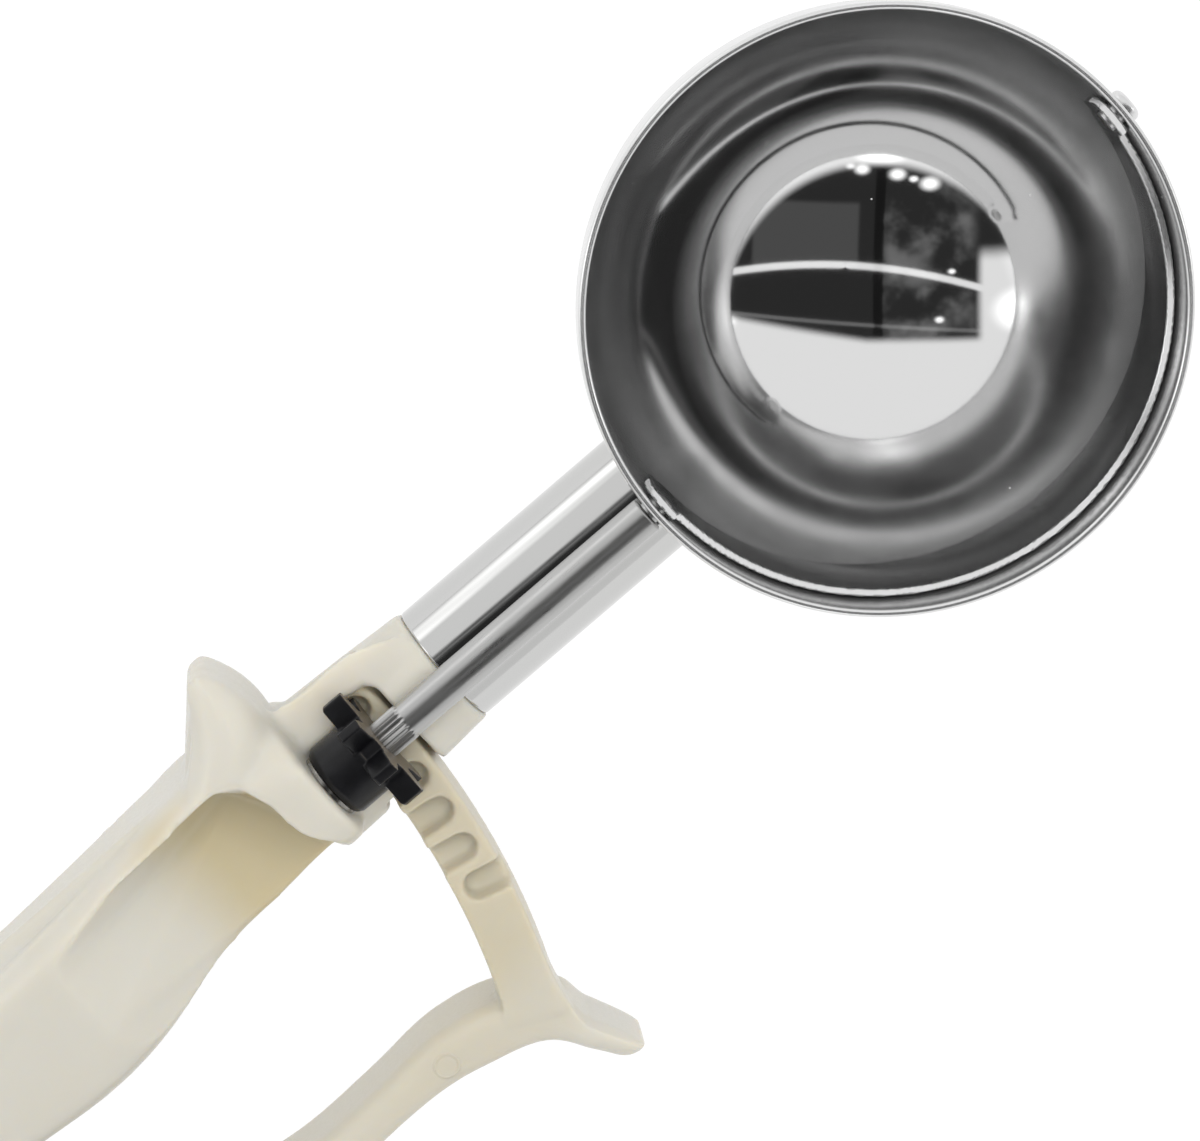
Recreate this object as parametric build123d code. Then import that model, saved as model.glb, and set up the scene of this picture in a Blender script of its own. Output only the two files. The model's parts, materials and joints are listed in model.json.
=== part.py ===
from build123d import *
from math import atan2, cos, degrees, pi, radians, sin, sqrt
import os

# Lever ice cream scoop (squeeze disher), millimetres.
# It is drawn in a working frame and laid on the table at the end.
# Working frame: the origin is the centre of the bowl's sphere, which lies on the drive shaft's axis.
# X runs along that shaft towards the bowl's far pivot, Z points out of the bowl's mouth,
# and the lever lies on the -Y side.

# ---------------------------------------------------------------- driving dimensions
# bowl
BOWL_RADIUS = 34.0            # outside
BOWL_WALL = 0.9
LIP_HEIGHT = 2.6              # straight band above the sphere's centre
LIP_ROUND = 0.3

# blade that sweeps the ice cream out
BLADE_THICKNESS = 0.9
BLADE_CLEARANCE = 0.3         # to the bowl's inside
BLADE_EDGE_DROP = 2.4         # trailing edge below the shaft's axis, at rest
BLADE_WIDTH = 9.0             # at the middle of the bowl
BLADE_ROOT_WIDTH = 3.6        # beside the pivots
BLADE_TAB_RADIUS = 2.4
BLADE_BLEND = 1.5

# drive shaft, its splines and its pivots
SHAFT_RADIUS = 2.15
TENON_RADIUS = 1.3
RUNNING_FIT = 0.05            # radial, every turning pair
SHAFT_END_GAP = 0.3           # shoulder to the bowl's outside
STUD_HEAD_RADIUS = 1.95
STUD_HEAD_HEIGHT = 0.95
RIVET_STAND = 0.35
SPLINE_COUNT = 22
SPLINE_LENGTH = 10.9
SPLINE_DEPTH = 0.22
SPLINE_GROWTH = 0.08
JOURNAL_RADIUS = 1.6
JOURNAL_LENGTH = 5.0

# rack and pinion
TOOTH_COUNT = 7
MODULE = 1.583
TIP_RADIUS = 7.25
ROOT_RADIUS = 4.35
TOOTH_ROOT_WIDTH = 2.7
TOOTH_PITCH_WIDTH = 2.2
TOOTH_TIP_WIDTH = 1.2
TEETH_LENGTH = 2.8
GEAR_FRONT_X = -73.1
GEAR_REST_TURN = 13.0         # degrees that a tooth has still to go to point straight down
HUB_RADIUS = 4.55
HUB_LENGTH = 4.6
HUB_CHAMFER = 0.7
TOOTH_EDGE_ROUND = 0.25
RACK_ADDENDUM = 0.6
RACK_LAG = 0.25               # groove's middle behind the tooth's middle, within the play
RACK_TIP_CLEARANCE = 0.3
RACK_FLOOR = 3.9              # plastic left under the grooves
GROOVE_TOP_WIDTH = 3.5
GROOVE_DRAFT = 11.0           # degrees
GROOVE_FLOOR_ROUND = 0.6
GROOVES_OUT = 3               # grooves on the lever's side of the gear, one for each pitch of a full squeeze
GROOVES_IN = 1                # grooves beyond the gear
RELIEF_PITCHES = 3.95         # the reversed moulding relief, in pitches from the gear
GROOVE_END_LAND = 1.4

# lever
PIVOT_X = -162.0
ARM_WIDTH = 7.0
ARM_OFFSET = 0.4              # arm's middle beside the gear's middle, along the radius
ARM_TIP_REACH = 6.6           # past the shaft's axis
ARM_ROUND = 0.8
ARM_STEP = 0.15               # arm's top proud of the grip's
ARM_DRAFT = 3.0               # degrees, the arm is wider at its bottom
GRIP_DEPTH = 13.3
GRIP_WIDTH = 6.0
GRIP_ROUND = 2.3
GRIP_MID_Y = -34.3
KNUCKLE_RADIUS = 8.2
TAIL_DEPTH = 8.4

# handle
NECK_DROP = 10.3              # neck tube's axis below the shaft's axis
TUBE_RADIUS = 7.4
TUBE_WALL = 1.0
TUBE_BITE = 1.6               # the tube's end runs this far under the bowl's side
COLLAR_FRONT_X = -63.6
COLLAR_STEP = 0.2             # collar proud of the tube
COLLAR_GROWTH = 0.4
COLLAR_CORNER = 4.8           # the collar turns from round to square-sided towards the shoulder
SPIGOT_LENGTH = 21.0
SPIGOT_FIT = 0.1
HEAD_TOP_Z = 5.2
REAR_TOP_Z = -1.0
HANDLE_BOTTOM_Z = -20.6
BUTT_RADIUS = 11.6
BUTT_DEPTH = 19.2
BUTT_CORNER = 5.0
GRIP_REACH = 11.0             # widest half of the grip's front, away from the lever
GRIP_DROP = 10.0              # the grip's underside below the neck's axis
SHOULDER_ROUND = 1.0
GUARD_CORNER = 0.42           # share of the wing's smaller side
POCKET_SETBACK = 5.5          # behind the shoulder's face
POCKET_WALL_Y = 8.7
POCKET_CORNER = 4.5
POCKET_FLOOR_Z = -6.5
POCKET_LENGTH = 33.0
POCKET_ROUND = 3.5
CHANNEL_GAP = 0.35
GEAR_WELL_GAP = 0.35
WINDOW_LEFT_Y = 5.3
WINDOW_FRONT_GAP = 2.9        # in front of the gear
WINDOW_CORNER = 1.4
SLOT_DEPTH = 9.8
SLOT_MID_Z = -11.0
SLOT_GAP = 1.1
SLOT_REACH = 24.0             # its mouth, forward of the pivot

# small parts
BUSH_WALL = 1.0
BUSH_LENGTH = 4.6
WASHER_RADIUS = 3.9
WASHER_THICKNESS = 0.45
PIN_RADIUS = 2.0
PIN_HEAD_RADIUS = 3.6
PIN_HEAD_HEIGHT = 1.2
RETAINER_RADIUS = 3.8
RETAINER_THICKNESS = 0.6
PIN_END_STAND = 0.9
PIN_SEAT_DEPTH = 0.9          # head and pin's end below the handle's surface
PIN_SEAT_GAP = 0.3
LOCK_PIN_RADIUS = 1.5
LOCK_PIN_X = -53.0
BRAZE_SIZE = 1.3
SPRING_WIRE = 0.9
SPRING_TURNS = 3
SPRING_MEAN_RADIUS = 3.4
SPRING_PITCH = 1.0
SPRING_LEG = 8.5
SPRING_WELL_RADIUS = 4.6
SPRING_LEG_GAP = 0.3
MOVING_LEG_HEADING = -22.0    # into the lever's tail
FIXED_LEG_HEADING = -180.0    # into the handle's upper cheek

# lying on the table: first guesses, made exact by rest_on_table
REST_ROLL = 12.0              # about X, lever side down
REST_PITCH = -4.5             # about Y, handle end down
REST_STEP = 0.5
REST_ROUNDS = 6

# ---------------------------------------------------------------- derived places
BOWL_INSIDE = BOWL_RADIUS - BOWL_WALL
BLADE_OUTSIDE = BOWL_INSIDE - BLADE_CLEARANCE
BLADE_INSIDE = BLADE_OUTSIDE - BLADE_THICKNESS
PITCH_RADIUS = MODULE * TOOTH_COUNT / 2
PITCH = pi * MODULE
REST_LAG = radians(GEAR_REST_TURN) * PITCH_RADIUS + RACK_LAG
GEAR_MID_X = GEAR_FRONT_X - TEETH_LENGTH / 2
GEAR_BACK_X = GEAR_FRONT_X - TEETH_LENGTH
HUB_BACK_X = GEAR_BACK_X - HUB_LENGTH
SHOULDER_X = HUB_BACK_X - WASHER_THICKNESS - 3 * RUNNING_FIT
POCKET_FRONT_X = SHOULDER_X - POCKET_SETBACK
POCKET_END_X = POCKET_FRONT_X - POCKET_LENGTH
HANDLE_LENGTH = SHOULDER_X - PIVOT_X
RACK_RADIUS = GEAR_MID_X - PIVOT_X
RACK_STEP = degrees(PITCH / RACK_RADIUS)
RACK_TOP_Z = -PITCH_RADIUS + RACK_ADDENDUM
GROOVE_FLOOR_Z = -TIP_RADIUS - RACK_TIP_CLEARANCE
ARM_BOTTOM_Z = GROOVE_FLOOR_Z - RACK_FLOOR
ARM_MID_RADIUS = RACK_RADIUS + ARM_OFFSET
ARM_INNER_RADIUS = ARM_MID_RADIUS - ARM_WIDTH / 2
ARM_OUTER_RADIUS = ARM_MID_RADIUS + ARM_WIDTH / 2
GRIP_TOP_Z = RACK_TOP_Z - ARM_STEP
GRIP_MID_Z = GRIP_TOP_Z - GRIP_DEPTH / 2
ARM_ROOT_REACH = 0.45 * GRIP_WIDTH - 1.05 * GRIP_MID_Y
LEVER_LENGTH = RACK_RADIUS + ARM_WIDTH / 2
SLOT_TOP_Z = SLOT_MID_Z + SLOT_DEPTH / 2
SLOT_BOTTOM_Z = SLOT_MID_Z - SLOT_DEPTH / 2
TAIL_TOP_Z = SLOT_MID_Z + TAIL_DEPTH / 2
TAIL_BOTTOM_Z = SLOT_MID_Z - TAIL_DEPTH / 2
COLLAR_RADIUS = TUBE_RADIUS + COLLAR_STEP
FULL_CIRCLE = 360
SPRING_TWIST = FULL_CIRCLE * SPRING_TURNS + MOVING_LEG_HEADING - FIXED_LEG_HEADING - FULL_CIRCLE / 2
SPRING_HEIGHT = SPRING_PITCH * SPRING_TWIST / FULL_CIRCLE
SPRING_TOP_Z = SLOT_TOP_Z + SPRING_WIRE / 2 + SPRING_LEG_GAP
SPRING_LOW_Z = SPRING_TOP_Z - SPRING_HEIGHT
SPRING_WELL_Z = SPRING_LOW_Z - SPRING_WIRE / 2 - SPRING_LEG_GAP


# ---------------------------------------------------------------- shapes of the two mouldings
# Grip, from the shoulder to the pivot: share of the way; its two sides, away from the lever and towards it,
# as shares of GRIP_REACH; its top as a share of HEAD_TOP_Z; its underside as a share of GRIP_DROP; corner.
GRIP_SECTIONS = [
    (0.00, 0.84, -0.61, 1.00, 0.85, 0.60),
    (0.09, 0.95, -0.62, 0.95, 0.87, 0.52),
    (0.18, 1.00, -0.63, 0.75, 0.90, 0.48),
    (0.31, 0.88, -0.68, 0.42, 0.96, 0.48),
    (0.43, 0.82, -0.84, 0.21, 0.99, 0.48),
    (0.555, 0.79, -0.97, 0.10, 1.01, 0.48),
    (0.70, 0.80, -0.94, 0.00, 1.02, 0.48),
    (0.85, 0.87, -0.95, -0.15, 1.02, 0.48),
]
# Butt: distance behind the pivot and size of the section, as shares of the butt's radius.
BUTT_SECTIONS = [(0.0, 1.0), (0.65, 0.92), (1.05, 0.68), (1.24, 0.38), (1.29, 0.16)]
# Guard wing: distance out from the shaft's axis, front and back behind the shoulder, top and bottom,
# all as shares of GRIP_REACH.
GUARD_SECTIONS = [
    (0.59, 0.05, 1.75, 0.42, -1.50),
    (0.86, 0.02, 1.37, 0.38, -1.42),
    (1.09, 0.01, 0.93, 0.31, -1.34),
    (1.33, 0.05, 0.65, 0.20, -1.25),
    (1.56, 0.13, 0.51, 0.05, -1.16),
    (1.72, 0.21, 0.39, -0.13, -1.04),
]
# Lever, from the hook's tip to the knuckle: distance before the pivot as a share of LEVER_LENGTH,
# distance from the shaft's axis as a share of GRIP_MID_Y, width and depth as shares of the grip's.
LEVER_SECTIONS = [
    (0.944, 1.430, 0.30, 0.68),
    (0.939, 1.400, 0.62, 0.86),
    (0.923, 1.310, 0.80, 0.97),
    (0.899, 1.200, 0.92, 1.00),
    (0.866, 1.110, 1.08, 1.00),
    (0.820, 1.045, 1.12, 1.00),
    (0.766, 1.010, 1.04, 1.00),
    (0.677, 0.995, 1.00, 1.00),
    (0.568, 1.005, 1.00, 1.00),
    (0.448, 0.962, 1.00, 1.00),
    (0.317, 0.787, 1.04, 0.84),
    (0.186, 0.510, 1.10, 0.63),
    (0.104, 0.290, 1.20, 0.63),
    (0.022, 0.067, 1.33, 0.63),
]


# ---------------------------------------------------------------- helpers
def along_x(radius, start_x, end_x, z=0.0):
    """A round bar along X from start_x to end_x."""
    low = min(start_x, end_x)
    bar = Cylinder(radius, abs(end_x - start_x), align=(Align.CENTER, Align.CENTER, Align.MIN))
    return Location((low, 0, z), (0, 90, 0)) * bar


def upright(radius, low_z, high_z, x=PIVOT_X, y=0.0):
    """A round bar along Z, on the lever's pivot unless told otherwise."""
    bar = Cylinder(radius, high_z - low_z, align=(Align.CENTER, Align.CENTER, Align.MIN))
    return Location((x, y, low_z)) * bar


def block(low, high):
    """A box between two corners."""
    size = [b - a for a, b in zip(low, high)]
    middle = [(a + b) / 2 for a, b in zip(low, high)]
    return Location(tuple(middle)) * Box(*size)


def plan_prism(outline, low_z, high_z):
    """A closed outline in the XY plane, raised from low_z to high_z."""
    return Location((0, 0, low_z)) * extrude(make_face(outline), high_z - low_z)


def side_prism(outline, half_width):
    """A closed outline in the XZ plane, spread to both sides of the middle."""
    return Location((0, half_width, 0)) * extrude(Plane.XZ * make_face(outline), 2 * half_width)


def ring_sector(inner_radius, outer_radius, low_z, high_z, start_angle, end_angle):
    """A curved bar about the lever's pivot. Angles are in degrees from +X."""
    sweep = end_angle - start_angle
    inner = CenterArc((PIVOT_X, 0), inner_radius, start_angle, sweep)
    outer = CenterArc((PIVOT_X, 0), outer_radius, start_angle, sweep)
    outline = inner + Line(inner @ 1, outer @ 1) + outer + Line(outer @ 0, inner @ 0)
    return plan_prism(outline, low_z, high_z)


# ---------------------------------------------------------------- bowl
def bowl_shape(radius):
    """Half a sphere with a straight band above its middle."""
    dome = Sphere(radius) & block((-2 * radius, -2 * radius, -2 * radius), (2 * radius, 2 * radius, 0))
    return dome + upright(radius, 0, LIP_HEIGHT, x=0)


def make_bowl():
    bowl = bowl_shape(BOWL_RADIUS) - bowl_shape(BOWL_INSIDE)
    rim = bowl.edges().filter_by(GeomType.CIRCLE).group_by(Axis.Z)[-1]
    bowl = fillet(rim, LIP_ROUND)
    return bowl - along_x(TENON_RADIUS + RUNNING_FIT, -2 * BOWL_RADIUS, 2 * BOWL_RADIUS)


def make_sweep_blade():
    """A strip of a thin ball: straight trailing edge, tapered leading edge, round tabs on the axis."""
    ball = Sphere(BLADE_OUTSIDE) - Sphere(BLADE_INSIDE)
    tip_y = -BLADE_OUTSIDE - 1
    side = Polyline(
        (BLADE_TAB_RADIUS, -BLADE_EDGE_DROP),
        (tip_y, -BLADE_EDGE_DROP),
        (tip_y, -BLADE_EDGE_DROP - BLADE_WIDTH),
        (0, -BLADE_EDGE_DROP - BLADE_ROOT_WIDTH),
        (BLADE_TAB_RADIUS, -BLADE_EDGE_DROP - BLADE_ROOT_WIDTH / 2),
        close=True,
    )
    tab = Pos(0, 0) * Circle(BLADE_TAB_RADIUS)
    stem = Location((0, -BLADE_EDGE_DROP)) * Rectangle(2 * BLADE_TAB_RADIUS, 2 * BLADE_EDGE_DROP)
    profile = make_face(side) + tab + stem
    inner_corner = profile.vertices().sort_by_distance((-BLADE_TAB_RADIUS, -BLADE_EDGE_DROP))[0]
    profile = fillet(inner_corner, BLADE_BLEND)
    reach = BLADE_OUTSIDE + 1
    cutter = Location((-reach, 0, 0)) * extrude(Plane.YZ * profile, 2 * reach)
    blade = ball & cutter
    return blade - along_x(TENON_RADIUS, -2 * BOWL_RADIUS, 2 * BOWL_RADIUS)


def make_blade_stud():
    """The far pivot: a domed rivet outside the bowl, its shank through wall and blade tab."""
    wall_x = BOWL_RADIUS
    shank = along_x(TENON_RADIUS, BLADE_INSIDE - RIVET_STAND, wall_x + STUD_HEAD_HEIGHT / 2)
    head_start = wall_x + RUNNING_FIT
    head = along_x(STUD_HEAD_RADIUS, head_start, head_start + STUD_HEAD_HEIGHT)
    crown = head.edges().filter_by(GeomType.CIRCLE).sort_by(Axis.X)[-1]
    head = fillet(crown, 0.8 * STUD_HEAD_HEIGHT)
    return shank + head


# ---------------------------------------------------------------- drive shaft and gear
def spline_section(outer_radius, depth, count):
    """A circle of small V grooves."""
    corners = []
    for index in range(2 * count):
        radius = outer_radius if index % 2 == 0 else outer_radius - depth
        angle = pi * index / count
        corners.append((radius * cos(angle), radius * sin(angle)))
    return make_face(Polyline(*corners, close=True))


def make_drive_shaft():
    front_x = -sqrt(BOWL_RADIUS**2 - SHAFT_RADIUS**2) - SHAFT_END_GAP
    spline_front = HUB_BACK_X + SPLINE_LENGTH
    rod = along_x(SHAFT_RADIUS, spline_front - 0.2, front_x)
    end_edge = rod.edges().filter_by(GeomType.CIRCLE).sort_by(Axis.X)[-1]
    rod = chamfer(end_edge, 0.2)
    section = spline_section(SHAFT_RADIUS + SPLINE_GROWTH, SPLINE_DEPTH, SPLINE_COUNT)
    splines = Location((HUB_BACK_X, 0, 0)) * extrude(Plane.YZ * section, SPLINE_LENGTH)
    tenon = along_x(TENON_RADIUS, front_x - 1, -BLADE_INSIDE + RIVET_STAND)
    journal = along_x(JOURNAL_RADIUS, HUB_BACK_X + 1, HUB_BACK_X - JOURNAL_LENGTH)
    return rod + splines + tenon + journal


def polar(radius, angle):
    return (radius * cos(angle), radius * sin(angle))


def gear_outline():
    """Seven stub teeth with slightly hollow flanks, as a face seen along the shaft."""
    face = Circle(ROOT_RADIUS)
    widths = [
        (ROOT_RADIUS - 0.4, TOOTH_ROOT_WIDTH),
        (PITCH_RADIUS, TOOTH_PITCH_WIDTH),
        (TIP_RADIUS, TOOTH_TIP_WIDTH),
    ]
    for tooth in range(TOOTH_COUNT):
        middle = -pi / 2 - radians(GEAR_REST_TURN) + 2 * pi * tooth / TOOTH_COUNT
        left = [polar(radius, middle + width / 2 / radius) for radius, width in widths]
        right = [polar(radius, middle - width / 2 / radius) for radius, width in reversed(widths)]
        top = ThreePointArc(left[-1], polar(TIP_RADIUS, middle), right[0])
        outline = Spline(*left) + top + Spline(*right) + Line(right[-1], left[0])
        face += make_face(outline)
    return face


def gear_bore():
    """The splined hole, cut to the shaft's own section."""
    section = spline_section(SHAFT_RADIUS + SPLINE_GROWTH, SPLINE_DEPTH, SPLINE_COUNT)
    length = TEETH_LENGTH + HUB_LENGTH
    return Location((HUB_BACK_X, 0, 0)) * extrude(Plane.YZ * section, length)


def make_pinion_gear():
    teeth = Location((GEAR_BACK_X, 0, 0)) * extrude(Plane.YZ * gear_outline(), TEETH_LENGTH)
    tips = teeth.edges().group_by(Axis.X)[0].filter_by(GeomType.CIRCLE)
    tips = ShapeList([edge for edge in tips if abs(edge.radius - TIP_RADIUS) < 0.01])
    teeth = chamfer(tips, TOOTH_EDGE_ROUND)
    hub = along_x(HUB_RADIUS, HUB_BACK_X, GEAR_BACK_X + 0.5)
    back_edge = hub.edges().filter_by(GeomType.CIRCLE).sort_by(Axis.X)[0]
    hub = chamfer(back_edge, HUB_CHAMFER, 0.6 * HUB_CHAMFER)
    return teeth + hub - gear_bore()


def make_thrust_washer():
    back_x = SHOULDER_X + RUNNING_FIT
    washer = along_x(WASHER_RADIUS, back_x, back_x + WASHER_THICKNESS)
    return washer - along_x(JOURNAL_RADIUS + RUNNING_FIT, SHOULDER_X - 1, HUB_BACK_X + 1)


def make_shaft_bush():
    bush = along_x(JOURNAL_RADIUS + BUSH_WALL, SHOULDER_X - BUSH_LENGTH, SHOULDER_X)
    return bush - along_x(JOURNAL_RADIUS + RUNNING_FIT, SHOULDER_X - BUSH_LENGTH - 1, SHOULDER_X + 1)


# ---------------------------------------------------------------- neck
def make_neck_tube():
    front_x = -BOWL_RADIUS + TUBE_RADIUS + TUBE_BITE
    outer = along_x(TUBE_RADIUS, COLLAR_FRONT_X, front_x, -NECK_DROP)
    inner = along_x(TUBE_RADIUS - TUBE_WALL, COLLAR_FRONT_X - 1, front_x + 1, -NECK_DROP)
    return outer - inner - Sphere(BOWL_RADIUS) - lock_pin_hole()


def make_neck_braze():
    """The fillet of filler metal where the tube meets the bowl."""
    reach = TUBE_RADIUS + BRAZE_SIZE
    start_x = -sqrt(BOWL_RADIUS**2 - NECK_DROP**2) - 2 * BRAZE_SIZE
    collar = along_x(reach, start_x, -BOWL_RADIUS + reach + TUBE_BITE, -NECK_DROP)
    skin = Sphere(BOWL_RADIUS + BRAZE_SIZE) - Sphere(BOWL_RADIUS)
    bead = (collar & skin) - along_x(TUBE_RADIUS, -3 * BOWL_RADIUS, 0, -NECK_DROP)
    below_shaft = block((-2 * BOWL_RADIUS, -BOWL_RADIUS, -BOWL_RADIUS), (0, BOWL_RADIUS, -SHAFT_RADIUS - 0.3))
    return bead & below_shaft


def lock_pin_hole():
    low_z = -NECK_DROP - TUBE_RADIUS - 1
    return upright(LOCK_PIN_RADIUS, low_z, -NECK_DROP + 1, x=LOCK_PIN_X)


def make_lock_pin():
    """A short drive pin that keeps the tube on the handle's spigot, from below."""
    bar = lock_pin_hole()
    return bar & along_x(TUBE_RADIUS, COLLAR_FRONT_X, 0, -NECK_DROP)


# ---------------------------------------------------------------- handle
def cross_section(x, y, z, heading, width, depth, corner):
    """A rounded rectangle across a path. The width lies level and the depth is upright."""
    along = (cos(radians(heading)), sin(radians(heading)), 0)
    across = (-along[1], along[0], 0)
    plane = Plane(origin=(x, y, z), x_dir=across, z_dir=along)
    return plane * RectangleRounded(width, depth, min(corner, 0.49 * width, 0.49 * depth))


def handle_form():
    """The grip as a smooth skin over cross-sections, from the shoulder's face to the butt."""
    sections = []
    for share, left, right, top, bottom, corner in GRIP_SECTIONS:
        x = SHOULDER_X - share * HANDLE_LENGTH
        low = -NECK_DROP - bottom * GRIP_DROP
        high = top * HEAD_TOP_Z
        width = (left - right) * GRIP_REACH
        mid_y = (left + right) / 2 * GRIP_REACH
        sections.append(
            cross_section(x, mid_y, (high + low) / 2, 180, width, high - low, corner * GRIP_DROP)
        )
    for behind, share in BUTT_SECTIONS:
        x = PIVOT_X - behind * BUTT_RADIUS
        width = 2 * BUTT_RADIUS * share
        sections.append(
            cross_section(x, 0, SLOT_MID_Z, 180, width, BUTT_DEPTH * share, BUTT_CORNER * share)
        )
    grip = loft(sections)
    front = grip.faces().sort_by(Axis.X)[-1]
    return fillet(front.edges(), SHOULDER_ROUND)


def finger_guard():
    """The wing that keeps the hand back from the bowl, as a skin over sections across it."""
    sections = []
    for shares in GUARD_SECTIONS:
        out, front, back, top, bottom = [share * GRIP_REACH for share in shares]
        middle = (SHOULDER_X - (front + back) / 2, out, (top + bottom) / 2)
        plane = Plane(origin=middle, x_dir=(1, 0, 0), z_dir=(0, 1, 0))
        length = back - front
        depth = top - bottom
        sections.append(plane * RectangleRounded(length, depth, GUARD_CORNER * min(length, depth)))
    return loft(sections)


def make_collar():
    """The neck of the moulding: round at the steel tube, square-sided at the shoulder, with its spigot."""
    length = COLLAR_FRONT_X - SHOULDER_X
    sections = []
    for share, corner in ((0.0, COLLAR_RADIUS), (0.35, 0.8 * COLLAR_RADIUS), (1.15, COLLAR_CORNER)):
        size = 2 * (COLLAR_RADIUS + share * COLLAR_GROWTH)
        x = COLLAR_FRONT_X - share * length
        sections.append(cross_section(x, 0, -NECK_DROP, 180, size, size, corner))
    spigot_end = COLLAR_FRONT_X + SPIGOT_LENGTH
    spigot = along_x(TUBE_RADIUS - TUBE_WALL - SPIGOT_FIT, COLLAR_FRONT_X - 1, spigot_end, -NECK_DROP)
    return loft(sections) + spigot


def pocket():
    """The scooped recess in the handle's top, open on the lever's side."""
    mouth_y = -2.4 * GRIP_REACH
    flare_x = POCKET_FRONT_X + 0.5 * POCKET_SETBACK
    back_x = POCKET_END_X - POCKET_ROUND
    corner = (POCKET_FRONT_X - POCKET_CORNER, POCKET_WALL_Y)
    wall_end = (back_x, POCKET_WALL_Y - 0.2 * GRIP_REACH)
    flare = Spline(
        (flare_x, mouth_y / 4), (POCKET_FRONT_X + 0.1 * POCKET_SETBACK, -0.3 * POCKET_CORNER),
        (POCKET_FRONT_X, 0.7 * POCKET_CORNER), corner,
        tangents=[(0, 1), (-1, 0)],
    )
    plan = (
        Line((flare_x, mouth_y), (flare_x, mouth_y / 4))
        + flare
        + Line(corner, wall_end)
        + Line(wall_end, (back_x, mouth_y))
        + Line((back_x, mouth_y), (flare_x, mouth_y))
    )
    top_z = HEAD_TOP_Z + 8
    walls = plan_prism(plan, POCKET_FLOOR_Z - 5, top_z)
    floor = Spline(
        (flare_x + 1, POCKET_FLOOR_Z + 0.4), (POCKET_FRONT_X - 0.2 * POCKET_LENGTH, POCKET_FLOOR_Z),
        (POCKET_FRONT_X - 0.55 * POCKET_LENGTH, 0.57 * POCKET_FLOOR_Z), (POCKET_END_X, 0.4 * HEAD_TOP_Z),
        (back_x, HEAD_TOP_Z),
    )
    space = (
        floor
        + Line(floor @ 1, (back_x, top_z))
        + Line((back_x, top_z), (flare_x + 1, top_z))
        + Line((flare_x + 1, top_z), floor @ 0)
    )
    tool = walls & side_prism(space, 4 * GRIP_REACH)
    floor_edges = ShapeList([edge for edge in tool.edges() if is_pocket_floor_edge(edge)])
    return fillet(floor_edges, POCKET_ROUND)


def is_pocket_floor_edge(edge):
    box = edge.bounding_box()
    inside = box.min.Y > -2.3 * GRIP_REACH and box.size.X > 0.5
    return inside and box.max.Z < HEAD_TOP_Z + 1 and box.size.Z < 14


def rack_channel():
    """The curved way through the collar for the lever's rack arm."""
    reach = degrees(COLLAR_RADIUS * 2.2 / RACK_RADIUS)
    return ring_sector(
        ARM_INNER_RADIUS - CHANNEL_GAP, ARM_OUTER_RADIUS + CHANNEL_GAP,
        ARM_BOTTOM_Z - CHANNEL_GAP, RACK_TOP_Z + CHANNEL_GAP, -reach, reach,
    )


def rack_window():
    """The opening in the collar's top in front of the gear, down to the arm."""
    front_x = GEAR_FRONT_X + WINDOW_FRONT_GAP
    back_x = GEAR_BACK_X - GEAR_WELL_GAP
    right_y = -2 * COLLAR_RADIUS
    window = block((back_x, right_y, RACK_TOP_Z), (front_x, WINDOW_LEFT_Y, HEAD_TOP_Z))
    corner = window.edges().filter_by(Axis.Z).group_by(Axis.Y)[-1].sort_by(Axis.X)[-1]
    return fillet(corner, WINDOW_CORNER)


def gear_well():
    """Room in the collar for the gear and its hub."""
    teeth = along_x(TIP_RADIUS + GEAR_WELL_GAP, GEAR_BACK_X - GEAR_WELL_GAP, GEAR_FRONT_X + GEAR_WELL_GAP)
    hub = along_x(HUB_RADIUS + GEAR_WELL_GAP, SHOULDER_X, GEAR_FRONT_X)
    shaft = along_x(SHAFT_RADIUS + GEAR_WELL_GAP, SHOULDER_X + 1, COLLAR_FRONT_X + 1)
    return teeth + hub + shaft


def hinge_slot():
    """The slot between the handle's two cheeks, in which the lever's knuckle turns."""
    radius = KNUCKLE_RADIUS + SLOT_GAP
    well = upright(radius, SLOT_BOTTOM_Z, SLOT_TOP_Z)
    mouth = Polyline(
        (PIVOT_X - radius, 0), (PIVOT_X + radius, 0), (PIVOT_X + SLOT_REACH, -SLOT_REACH / 4),
        (PIVOT_X + SLOT_REACH, -1.25 * SLOT_REACH), (PIVOT_X - radius, -1.25 * SLOT_REACH),
        close=True,
    )
    return well + plan_prism(mouth, SLOT_BOTTOM_Z, SLOT_TOP_Z)


def pin_holes():
    """The pivot pin's hole through both cheeks, with seats for its head and its retainer."""
    hole = upright(PIN_RADIUS, HANDLE_BOTTOM_Z - 5, HEAD_TOP_Z + 5)
    head_seat = upright(PIN_HEAD_RADIUS + PIN_SEAT_GAP, pin_head_z(), HEAD_TOP_Z)
    retainer_seat = upright(RETAINER_RADIUS + PIN_SEAT_GAP, HANDLE_BOTTOM_Z - 5, retainer_z())
    return hole + head_seat + retainer_seat


def pin_head_z():
    return REAR_TOP_Z - PIN_HEAD_HEIGHT - PIN_SEAT_DEPTH


def retainer_z():
    return HANDLE_BOTTOM_Z + PIN_END_STAND + PIN_SEAT_DEPTH


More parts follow.
